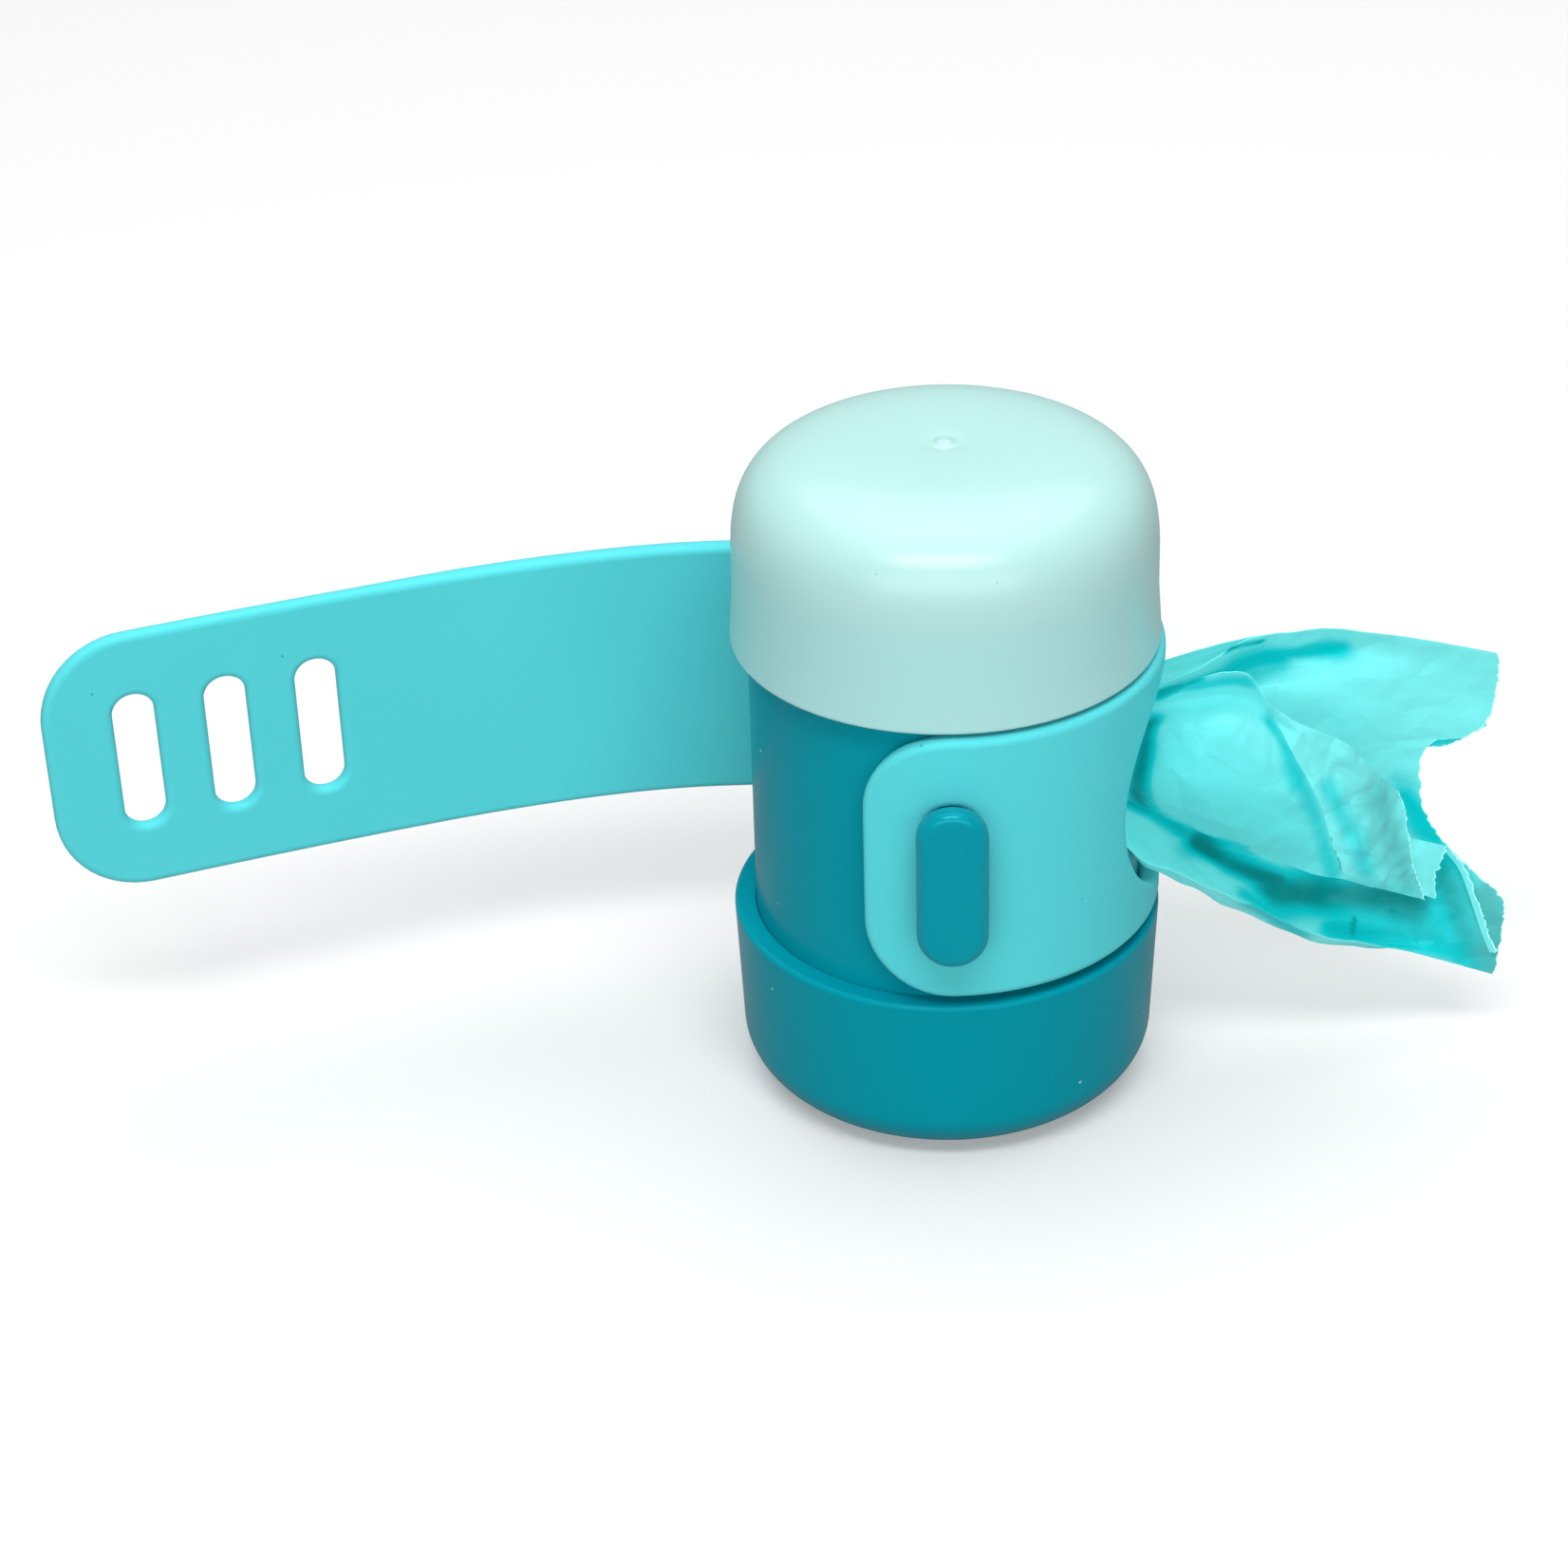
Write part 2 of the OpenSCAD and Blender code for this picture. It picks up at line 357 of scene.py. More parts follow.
    def close(self) -> None:
        """Merges doubled vertices and turns the faces outwards, inside edit mode."""
        self.select_whole()
        bpy.ops.mesh.remove_doubles(threshold=self.merge_gap)
        bpy.ops.mesh.delete_loose()
        self.select_whole()
        bpy.ops.mesh.normals_make_consistent(inside=False)
        bpy.ops.mesh.select_all(action="DESELECT")

    def select(self, parts: str, test: Callable[[object], bool]) -> None:
        """Selects faces or edges inside edit mode.

        Args:
            parts: faces or edges.
            test: Says whether one of them is selected.
        """
        mesh = bmesh.from_edit_mesh(self.obj.data)
        for part in getattr(mesh, parts):
            part.select_set(test(part))
        bmesh.update_edit_mesh(self.obj.data)

    def round_upright_edges(
        self, radius: float, steps: int, x_from: float = -math.inf, x_to: float = math.inf
    ) -> None:
        """Rounds the plate's corners in plan.

        Args:
            radius: Radius of the corners.
            steps: Number of steps in each corner.
            x_from: Where the stretch starts whose corners are rounded.
            x_to: Where it ends.
        """

        def upright(edge: bmesh.types.BMEdge) -> bool:
            """Says whether an edge runs along Z within the stretch."""
            run = edge.verts[1].co - edge.verts[0].co
            return abs(run.z) > 0.99 * run.length and x_from < edge.verts[0].co.x < x_to

        with self.editing("EDGE"):
            self.select("edges", upright)
            bpy.ops.mesh.bevel(offset=radius, segments=steps, affect="EDGES")
            self.close()

    def swell(self, side: int, size: float, steps: int, hold: float = 0.0) -> None:
        """Raises the flat faces of one side over a quarter round.

        Args:
            side: 1 for the faces that look up, -1 for those that look down.
            size: Radius of the round.
            steps: Number of steps in the round.
            hold: Width of a last flat inset, which keeps the shading flat up to the round.
        """
        turns = [math.pi / 2 * step / steps for step in range(steps + 1)]
        with self.editing("FACE"):
            self.select("faces", lambda face: face.normal.z * side > 0.999)
            for turn, next_turn in zip(turns, turns[1:]):
                bpy.ops.mesh.inset(
                    thickness=size * (math.cos(turn) - math.cos(next_turn)),
                    depth=size * (math.sin(next_turn) - math.sin(turn)),
                    use_even_offset=True,
                )
            if hold:
                bpy.ops.mesh.inset(thickness=hold, use_even_offset=True)

    def slice_along_x(self, places: Sequence[float]) -> None:
        """Cuts a loop across the piece at each place, without parting it.

        Args:
            places: Positions along X.
        """
        with self.editing():
            for place in places:
                self.select_whole()
                bpy.ops.mesh.bisect(plane_co=(place, 0, 0), plane_no=(1, 0, 0))

    def part_along_x(self, name: str, start: Optional[float], end: Optional[float]) -> "Piece":
        """Copies the stretch of the piece between two places, with closed ends.

        Args:
            name: The copy's name.
            start: Where the stretch starts, or None for the piece's own start.
            end: Where the stretch ends, or None for the piece's own end.

        Returns:
            The copy.
        """
        obj = self.obj.copy()
        obj.data = self.obj.data.copy()
        obj.name = obj.data.name = name
        bpy.context.scene.collection.objects.link(obj)
        part = Piece(obj)
        with part.editing():
            for place, cut in ((start, "clear_inner"), (end, "clear_outer")):
                if place is None:
                    continue
                part.select_whole()
                bpy.ops.mesh.bisect(
                    plane_co=(place, 0, 0), plane_no=(1, 0, 0), use_fill=True, **{cut: True}
                )
            part.close()
        return part

    def combine(self, other: "Piece", operation: str) -> None:
        """Cuts another piece away from this one, or joins it on, and drops the other.

        Args:
            other: The cutter or the piece to join.
            operation: DIFFERENCE or UNION.
        """
        modifier = self.obj.modifiers.new("combine", "BOOLEAN")
        modifier.object = other.obj
        modifier.operation = operation
        modifier.solver = "EXACT"
        self.apply(modifier)
        with self.editing():
            self.close()
        mesh = other.obj.data
        bpy.data.objects.remove(other.obj)
        bpy.data.meshes.remove(mesh)

    def apply(self, modifier: bpy.types.Modifier) -> None:
        """Applies one of the piece's modifiers."""
        self.activate()
        bpy.ops.object.modifier_apply(modifier=modifier.name)

    def move_vertices(self, place: Callable[[Vector], Sequence[float]]) -> None:
        """Moves each vertex of the piece.

        Args:
            place: Gives a vertex's new place for its old one.
        """
        for vert in self.obj.data.vertices:
            vert.co = place(vert.co)
        self.obj.data.update()

    def finish(
        self,
        material: bpy.types.Material,
        slot: Slot,
        nodes: Sequence[str],
        smooth_angle: float = 35,
    ) -> bpy.types.Object:
        """Brings the piece to metres, smooths and dresses it, and puts it in place of CAD nodes.

        Args:
            material: Its finish.
            slot: The slot that the finish belongs to; not used.
            nodes: The CAD nodes that it stands for.
            smooth_angle: Angle in degrees above which an edge stays sharp.

        Returns:
            The finished object.
        """
        self.obj.data.transform(Matrix.Scale(MM, 4))
        self.activate()
        bpy.ops.object.shade_smooth_by_angle(angle=math.radians(smooth_angle))
        self.obj.data.materials.clear()
        self.obj.data.materials.append(material)
        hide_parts(*nodes)
        LOG.info("%s: %d faces", self.obj.name, len(self.obj.data.polygons))
        return self.obj


# --- Shader effects that several finishes share ---


class Board:
    """A node tree with short ways to add and connect nodes."""

    def __init__(self, tree: bpy.types.NodeTree) -> None:
        """Takes a tree to work on."""
        self.tree = tree

    def link(self, value: bpy.types.NodeSocket, socket: bpy.types.NodeSocket) -> None:
        """Connects an output with an input."""
        self.tree.links.new(value, socket)

    def add(self, kind: str, inputs: Optional[dict] = None, **settings: object) -> bpy.types.Node:
        """Adds a node.

        Args:
            kind: The node's type, without its first words ShaderNode.
            inputs: Values or sockets for its inputs, by name or number.
            **settings: The node's own properties.

        Returns:
            The node.
        """
        node = self.tree.nodes.new("ShaderNode" + kind)
        for key, value in settings.items():
            setattr(node, key, value)
        for key, value in (inputs or {}).items():
            if isinstance(value, bpy.types.NodeSocket):
                self.link(value, node.inputs[key])
            else:
                node.inputs[key].default_value = value
        return node

    def math(self, operation: str, first: object, second: object = 0.0) -> bpy.types.NodeSocket:
        """Works out a number from two numbers or sockets."""
        return self.add("Math", {0: first, 1: second}, operation=operation).outputs[0]

    def between(self, value: object, low: float, high: float) -> bpy.types.NodeSocket:
        """Maps a value smoothly to 0 to 1, from where it is 0 to where it is 1."""
        span = {"Value": value, "From Min": low, "From Max": high}
        return self.add("MapRange", span, interpolation_type="SMOOTHSTEP").outputs[0]

    def noise(self, vector: object, scale: object, detail: float = 2.0) -> bpy.types.NodeSocket:
        """Adds a noise pattern of some octaves and gives its value."""
        values = {"Vector": vector, "Scale": scale, "Detail": detail}
        return self.add("TexNoise", values).outputs[0]

    def blend(self, share: object, first: object, second: object) -> bpy.types.NodeSocket:
        """Mixes two colours.

        Args:
            share: The second colour's share.
            first: The first colour or its socket.
            second: The second colour or its socket.

        Returns:
            The mixed colour's socket.
        """
        colours = [(*c, 1) if isinstance(c, tuple) else c for c in (first, second)]
        values = {0: share, 6: colours[0], 7: colours[1]}
        return self.add("Mix", values, data_type="RGBA").outputs[2]


class Effect:
    """A shader node group with named sockets, which finishes place with their own values."""

    def __init__(self, name: str, inputs: dict[str, float], outputs: Sequence[str]) -> None:
        """Makes an empty group that takes a Vector and some numbers.

        Args:
            name: The group's name.
            inputs: Names of the number inputs, with their defaults.
            outputs: Names of the values that it puts out.
        """
        self.tree = bpy.data.node_groups.new(name, "ShaderNodeTree")
        face = self.tree.interface
        face.new_socket("Vector", in_out="INPUT", socket_type="NodeSocketVector")
        for key, value in inputs.items():
            socket = face.new_socket(key, in_out="INPUT", socket_type="NodeSocketFloat")
            socket.default_value = value
        for key in outputs:
            face.new_socket(key, in_out="OUTPUT", socket_type="NodeSocketFloat")
        self.board = Board(self.tree)
        self.source = self.tree.nodes.new("NodeGroupInput")
        self.sink = self.tree.nodes.new("NodeGroupOutput")

    def put(self, name: str, value: bpy.types.NodeSocket) -> None:
        """Connects one output of the group."""
        self.board.link(value, self.sink.inputs[name])


class MouldGrain(Effect):
    """The faint texture that a mould leaves: fine grain over slow waves, and a mottle."""

    def __init__(self) -> None:
        """Builds the group."""
        numbers = {"Grain Scale": 900.0, "Wave Scale": 45.0, "Wave Share": 0.6}
        super().__init__("mould_grain", numbers, ("Height", "Mottle"))
        board = self.board
        place, grain_scale, wave_scale, wave_share = self.source.outputs[:4]
        grain = board.noise(place, grain_scale, 3)
        wave = board.noise(place, wave_scale, 2)
        self.put("Height", board.math("ADD", grain, board.math("MULTIPLY", wave, wave_share)))
        self.put("Mottle", board.between(wave, 0.15, 0.85))


class DustSpecks(Effect):
    """Sparse dust: a mask of small specks, most of the surface being clean."""

    def __init__(self) -> None:
        """Builds the group."""
        super().__init__("dust_specks", {"Scale": 260.0, "Size": 0.045, "Share": 0.4}, ("Mask",))
        board = self.board
        place, scale, size, share = self.source.outputs[:4]
        cells = board.add("TexVoronoi", {"Vector": place, "Scale": scale})
        near = board.math("LESS_THAN", cells.outputs["Distance"], size)
        draw = board.add("SeparateColor", {0: cells.outputs["Color"]})
        chosen = board.math("LESS_THAN", draw.outputs[0], share)
        self.put("Mask", board.math("MULTIPLY", near, chosen))


class FilmCreases(Effect):
    """Creases of thin film: sharp lines that wander, over soft dents."""

    def __init__(self) -> None:
        """Builds the group."""
        numbers = {"Crease Scale": 160.0, "Dent Scale": 90.0, "Wander": 0.006}
        super().__init__("film_creases", numbers, ("Height", "Line"))
        board = self.board
        place, crease_scale, dent_scale, wander = self.source.outputs[:4]
        drift = board.add("TexNoise", {"Vector": place, "Scale": dent_scale}).outputs["Color"]
        drift = board.add("VectorMath", {0: drift, "Scale": wander}, operation="SCALE")
        moved = board.add("VectorMath", {0: place, 1: drift.outputs[0]}, operation="ADD")
        values = {"Vector": moved.outputs[0], "Scale": crease_scale}
        cells = board.add("TexVoronoi", values, feature="DISTANCE_TO_EDGE")
        away = cells.outputs["Distance"]
        patches = board.between(board.noise(place, 60.0, 1), 0.5, 0.65)
        self.put("Line", board.math("MULTIPLY", board.between(away, 0.06, 0.0), patches))
        dents = board.noise(place, dent_scale, 3)
        self.put("Height", board.math("ADD", dents, board.math("MULTIPLY", away, 0.8)))


# --- Finishes ---


class Skin(Board):
    """A material's board, with its shader and the place on the object."""

    def __init__(self, name: str) -> None:
        """Makes the material.

        Args:
            name: Its name.
        """
        self.material = bpy.data.materials.new(name)
        self.material.use_nodes = True
        super().__init__(self.material.node_tree)
        self.shader = self.tree.nodes["Principled BSDF"]
        self.place = self.add("TexCoord").outputs["Object"]

    def wear(self, name: str, value: object) -> None:
        """Gives an input of the shader its value, its colour or its socket.

        Args:
            name: The input's name.
            value: What it gets.
        """
        if isinstance(value, bpy.types.NodeSocket):
            self.link(value, self.shader.inputs[name])
        else:
            plain = (*value, 1) if isinstance(value, tuple) else value
            self.shader.inputs[name].default_value = plain

    def effect(self, effect: Effect, place: Optional[object] = None, **values: float) -> Sequence:
        """Places a shared effect.

        Args:
            effect: The effect.
            place: The place that it reads, where that isn't the one on the object.
            **values: Its own numbers, with low lines for the spaces in their names.

        Returns:
            Its outputs.
        """
        spot = self.place if place is None else place
        group = self.add("Group", {"Vector": spot}, node_tree=effect.tree)
        for name, value in values.items():
            group.inputs[name.replace("_", " ")].default_value = value
        return group.outputs

    def raise_bump(self, height: bpy.types.NodeSocket, depth: float) -> None:
        """Feeds a height pattern to the shader's normal, with its depth in metres."""
        bump = self.add("Bump", {"Height": height, "Strength": 1.0, "Distance": depth})
        self.wear("Normal", bump.outputs[0])


@dataclass(frozen=True)
class Finish:
    """What every finish has: a colour, a gloss, the depth of its bump and its reflections."""

    name: str
    colour: Colour
    roughness: float
    bump: float = 0.00002
    shine: Colour = (1.0, 1.0, 1.0)
    specular: float = 0.5

    def material(self, *effects: Effect) -> bpy.types.Material:
        """Builds the material.

        Args:
            *effects: The shared effects that it places.

        Returns:
            The material.
        """
        skin = Skin(self.name)
        skin.material.diffuse_color = (*self.colour, 1)
        skin.wear("Base Color", self.colour)
        skin.wear("Roughness", self.roughness)
        skin.wear("Specular Tint", self.shine)
        skin.wear("Specular IOR Level", self.specular)
        self.dress(skin, *effects)
        return skin.material

    def dress(self, skin: Skin, *effects: Effect) -> None:
        """Adds the finish's own nodes; a plain finish has none."""


@dataclass(frozen=True)
class Moulding(Finish):
    """A moulded surface: fine grain, a slow change of tone and gloss, and sparse dust."""

    deep: Colour = (0.0, 0.0, 0.0)
    dust: Colour = (1.0, 1.0, 1.0)
    dusty: float = 0.4
    spread: float = 0.06

    def tone(self, skin: Skin, mottle: bpy.types.NodeSocket) -> bpy.types.NodeSocket:
        """Gives the colour under the dust, which here follows the mottle."""
        return skin.blend(mottle, self.colour, self.deep)

    def dress(self, skin: Skin, grain: Effect, specks: Effect) -> None:
        """Adds the finish's own nodes.

        Args:
            skin: The material's board.
            grain: The mould texture.
            specks: The dust.
        """
        height, mottle = skin.effect(grain)
        mask = skin.effect(specks, Share=self.dusty)[0]
        skin.wear("Base Color", skin.blend(mask, self.tone(skin, mottle), self.dust))
        more = skin.math("MULTIPLY", mottle, self.spread)
        skin.wear("Roughness", skin.math("ADD", more, self.roughness))
        skin.raise_bump(height, self.bump)


@dataclass(frozen=True)
class GlossyPlastic(Moulding):
    """Polished coloured plastic, a little mottled."""

    deep: Colour = (0.0, 0.285, 0.365)
    dust: Colour = (0.35, 0.6, 0.62)
    specular: float = 0.12


@dataclass(frozen=True)
class Silicone(Moulding):
    """Soft satin silicone."""

    deep: Colour = (0.10, 0.67, 0.715)
    dust: Colour = (0.05, 0.4, 0.42)
    spread: float = 0.08
    specular: float = 0.35


@dataclass(frozen=True)
class MilkyPlastic(Moulding):
    """Satin, slightly see-through plastic, with painted shade that makes it deeper where something
    stands behind it.
    """

    deep: Colour = (0.38, 0.70, 0.70)
    dust: Colour = (0.3, 0.5, 0.5)
    dusty: float = 0.08
    spread: float = 0.05
    shaded_below: float = 0.060
    unshaded_above: float = 0.0655
    shade_strength: float = 0.85

    def tone(self, skin: Skin, mottle: bpy.types.NodeSocket) -> bpy.types.NodeSocket:
        """Gives the colour under the dust, painted shade that here follows the height.

        Args:
            skin: The material's board.
            mottle: The mould's mottle, which isn't used.

        Returns:
            The colour's socket.
        """
        height = skin.add("SeparateXYZ", {0: skin.place}).outputs["Z"]
        # Painted shade: the wall turns deeper below the height where the tube stands behind it.
        shaded = skin.between(height, self.unshaded_above, self.shaded_below)
        return skin.blend(skin.math("MULTIPLY", shaded, self.shade_strength), self.colour, self.deep)


@dataclass(frozen=True)
class ThinFilm(Finish):
    """Crumpled thin film: see-through, with creases, a whitened torn edge, painted shade that
    partly stands for film lying double, and a glow of painted light.
    """

    # Colour of painted shade, partly film lying double; the crease lines take it too.
    doubled_and_shaded: Colour = (0.0, 0.42, 0.44)
    # Colour of painted shadow, in the trough under the flap and in deep folds.
    deep: Colour = (0.0, 0.155, 0.155)
    # Greyer colour, partly single-layer film and partly painted shade where the panel faces away
    # from the light.
    hazy_and_shaded: Colour = (0.055, 0.32, 0.32)
    torn: Colour = (0.6, 0.95, 0.93)
    clear: float = 0.07
    glow: float = 0.45
    line: float = 0.2

    def dress(self, skin: Skin, creases: Effect) -> None:
        """Adds the finish's own nodes.

        Args:
            skin: The material's board.
            creases: The crease pattern.
        """
        height, line = skin.effect(creases)
        layers, torn, creased, haze_and_shade = [
            skin.add("Attribute", attribute_name=name).outputs["Fac"]
            for name in ("layers", "torn", "creased", "haze_and_shade")
        ]
        # Painted shade from the strokes, partly standing for film lying double: the colour turns
        # deeper and more saturated.
        doubled_and_shaded = skin.between(layers, 0.0, 0.5)
        tone = skin.blend(doubled_and_shaded, self.colour, self.doubled_and_shaded)
        # Painted shadow: the strongest strokes turn to the deep colour.
        tone = skin.blend(skin.between(layers, 0.45, 1.0), tone, self.deep)
        # Greyer tone from the strokes: single-layer film, with painted shade on the panel that
        # faces away.
        tone = skin.blend(haze_and_shade, tone, self.hazy_and_shaded)
        # Painted shade along the crease lines, which take the shaded colour.
        share = skin.math("MULTIPLY", skin.math("MULTIPLY", line, creased), self.line)
        tone = skin.blend(share, tone, self.doubled_and_shaded)
        tone = skin.blend(torn, tone, self.torn)
        skin.wear("Base Color", tone)
        # Painted light: the film glows in its own colour, standing for light that passes through
        # it.
        skin.wear("Emission Color", tone)
        skin.wear("Emission Strength", self.glow)
        gap = skin.math("MULTIPLY", skin.math("SUBTRACT", 1.0, doubled_and_shaded), self.clear)
        skin.wear("Alpha", skin.math("SUBTRACT", 1.0, gap))
        skin.raise_bump(skin.math("MULTIPLY", height, creased), self.bump)


@dataclass(frozen=True)
class WoundFilm(Finish):
    """The end and the side of a roll of film: many thin turns of film, seen as fine rings."""

    gap: Colour = (0.02, 0.35, 0.36)
    wander: float = 0.0002
    ring_turns: float = 14000.0

    def dress(self, skin: Skin, grain: Effect) -> None:
        """Adds the finish's own nodes.

        Args:
            skin: The material's board.
            grain: The mould texture, which makes the rings wander.
        """
        flat = skin.add("VectorMath", {0: skin.place, 1: (1.0, 1.0, 0.0)}, operation="MULTIPLY")
        radius = skin.add("VectorMath", {0: flat.outputs[0]}, operation="LENGTH")
        wander = skin.math("MULTIPLY", skin.effect(grain)["Mottle"], self.wander)
        path = skin.math("ADD", radius.outputs["Value"], wander)
        wave = skin.math("SINE", skin.math("MULTIPLY", path, self.ring_turns))
        rings = skin.between(wave, -1.0, 1.0)
        skin.wear("Base Color", skin.blend(rings, self.gap, self.colour))
        skin.raise_bump(rings, self.bump)


@dataclass(frozen=True)
class KraftPaper(Finish):
    """Plain brown board with short fibres."""

    fibre: Colour = (0.36, 0.24, 0.13)
    fibre_scale: float = 400.0
    run: Point3 = (3.0, 3.0, 0.7)

    def dress(self, skin: Skin, grain: Effect) -> None:
        """Adds the finish's own nodes.

        Args:
            skin: The material's board.
            grain: The mould texture, used at the scale of fibres.
        """
        place = skin.add("Mapping", {"Vector": skin.place, "Scale": self.run}).outputs[0]
        height, mottle = skin.effect(grain, place, Wave_Scale=self.fibre_scale)
        skin.wear("Base Color", skin.blend(mottle, self.colour, self.fibre))
        skin.raise_bump(height, self.bump)


@dataclass(frozen=True)
class PaleFloor(Finish):
    """A plain pale sheet with a faint glow, darker for the object than for the camera."""

    specular: float = 0.15
    front_glow: Colour = (0.22, 0.22, 0.22)
    back_glow: Colour = (0.28, 0.28, 0.28)
    back_from: float = 0.25
    bounce_colour: Colour = (0.30, 0.30, 0.30)
    bounce_glow: Colour = (0.05, 0.05, 0.05)

    def dress(self, skin: Skin) -> None:
        """Adds the finish's own nodes.

        Args:
            skin: The material's board.
        """
        seen = skin.add("LightPath").outputs["Is Camera Ray"]
        depth = skin.add("SeparateXYZ", {0: skin.place}).outputs["Y"]
        back = skin.between(depth, 0.0, self.back_from)
        glow = skin.blend(back, self.front_glow, self.back_glow)
        skin.wear("Base Color", skin.blend(seen, self.bounce_colour, self.colour))
        skin.wear("Emission Color", skin.blend(seen, self.bounce_glow, glow))
        skin.wear("Emission Strength", 1.0)


class Finishes:
    """Every finish of the object, built once."""

    shine: Colour = (0.2, 0.9, 1.0)
    cool: Colour = (0.3, 0.92, 1.0)
    cold: Colour = (0.15, 0.93, 1.0)

    def __init__(self) -> None:
        """Builds the shared effects and the materials."""
        grain = MouldGrain()
        dust = DustSpecks()
        creases = FilmCreases()
        teal = GlossyPlastic("dark_teal_plastic", (0.0, 0.29, 0.37), 0.22, shine=self.cool)
        polished = GlossyPlastic(
            "polished_teal_plastic", (0.0, 0.275, 0.355), 0.17, shine=self.cold, specular=0.5
        )
        mint = MilkyPlastic("milky_mint_plastic", (0.41, 0.68, 0.65), 0.27)
        aqua = Silicone("aqua_silicone", (0.095, 0.64, 0.69), 0.42, shine=self.shine)
        film = ThinFilm("turquoise_film", (0.14, 0.595, 0.595), 0.32, 0.0015, self.shine)
        self.teal = teal.material(grain, dust)
        self.polished = polished.material(grain, dust)
        self.mint = mint.material(grain, dust)
        self.aqua = aqua.material(grain, dust)
        self.film = film.material(creases)
        self.wound = WoundFilm("wound_film", (0.08, 0.62, 0.61), 0.4, 0.00005).material(grain)
        self.kraft = KraftPaper("kraft_paper", (0.50, 0.36, 0.21), 0.8, 0.00003).material(grain)


# --- The case ---


@dataclass
class Cup:
    """The base cup: a drafted cup with a round bottom corner, a ledge and a centring post."""

    foot_r: float = 14.1
    foot_ring: float = 0.6
    corner_r: float = 7.8
    corner_h: float = 5.9
    corner_power: float = 2.1
    corner_steps: int = 18
    corner_hold: Point2 = (0.02, 0.5)
    rim_round: float = 0.5
    bore_gap: float = 0.05
    bore_round: float = 0.12
    floor_t: float = 1.8
    inner_round: float = 2.5
    post_r: float = 6.9
    post_top: float = 11.8
    post_wall: float = 1.3
    post_round: float = 0.6
    post_bore_round: float = 0.3

    def outline(self) -> Outline:
        """Draws the cup's half section.

        Returns:
            The section, from the middle of the foot out, up, in and down to the floor.
        """
        high = box_mm("base_cup")[1]
        tube_low, tube_high = box_mm("body_tube")
        bore_r = tube_high.x + self.bore_gap
        inner_r = tube_high.x - Tube.wall
        side = superellipse(self.corner_r, self.corner_h, 0, self.corner_power, self.corner_steps)
        foot = [Corner(self.foot_r + c.r, self.corner_h - c.z) for c in reversed(side)]
        post_in = self.post_r - self.post_wall
        return Outline(
            [
                Corner(0, 0),
                Corner(self.foot_r * self.foot_ring, 0),
                Corner(self.foot_r, 0),
                *foot,
                Corner(foot[-1].r + self.corner_hold[0], self.corner_h + self.corner_hold[1]),
                Corner(high.x, high.z, self.rim_round),
                Corner(bore_r, high.z, self.bore_round),
                Corner(bore_r, tube_low.z),
                Corner(inner_r, tube_low.z),
                Corner(inner_r, self.floor_t, self.inner_round),
                Corner(self.post_r, self.floor_t),
                Corner(self.post_r, self.post_top, self.post_round),
                Corner(post_in, self.post_top, self.post_bore_round),
                Corner(post_in, self.floor_t),
                Corner(0, self.floor_t),
            ]
        )

    def build(self, finishes: Finishes) -> None:
        """Turns and dresses the cup in one of the finishes."""
        piece = Piece.turned("cup_shell", self.outline())
        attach(piece.finish(finishes.teal, Slot.CASE, ["base_cup"]), Body.CASE.value)


@dataclass
class Tube:
    """The body tube, with the hole that the bags come out of and the hole for the stud's neck."""

    wall: float = 1.5
    end_round: float = 0.3
    outlet_r: float = 10.8
    outlet_edge: float = 0.22
    edge_steps: int = 3
    sharp: float = 50.0
    weld: float = 0.12
    cut_from: float = 2.0
    cut_over: float = 3.0

    def build(self, finishes: Finishes, stud: "Stud") -> None:
        """Turns, cuts and dresses the tube.

        Args:
            finishes: The object's materials.
            stud: The stud, whose neck passes the wall.
        """
        low, high = box_mm("body_tube")
        inner = high.x - self.wall
        ends = ((inner, low.z), (high.x, low.z), (high.x, high.z), (inner, high.z))
        outline = Outline([Corner(r, z, self.end_round) for r, z in ends])
        piece = Piece.turned("tube_shell", outline)
        reach = high.x + self.cut_over
        at = (reach / 2 + self.cut_from, 0, middle_z("strap_band"))
        outlet = Piece.rod("outlet_cutter", self.outlet_r, reach, at, math.pi / 2)
        piece.combine(outlet, "DIFFERENCE")
        piece.combine(stud.neck_cutter(), "DIFFERENCE")
        self.soften_holes(piece)
        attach(piece.finish(finishes.teal, Slot.CASE, ["body_tube"]), Body.CASE.value)

    def soften_holes(self, piece: Piece) -> None:
        """Breaks the sharp edges that the cutters left.

        Args:
            piece: The cut tube.
        """

        def on_hole(edge: bmesh.types.BMEdge) -> bool:
            """Says whether an edge is sharp, as only those of the holes are."""
            faces = len(edge.link_faces)
            return faces == 2 and edge.calc_face_angle(0) >= math.radians(self.sharp)

        with piece.editing("EDGE"):
            piece.select("edges", on_hole)
            bpy.ops.mesh.remove_doubles(threshold=self.weld)
            piece.select("edges", on_hole)
            bpy.ops.mesh.bevel(
                offset=self.outlet_edge,
                segments=self.edge_steps,
                affect="EDGES",
                clamp_overlap=True,
            )
            piece.close()


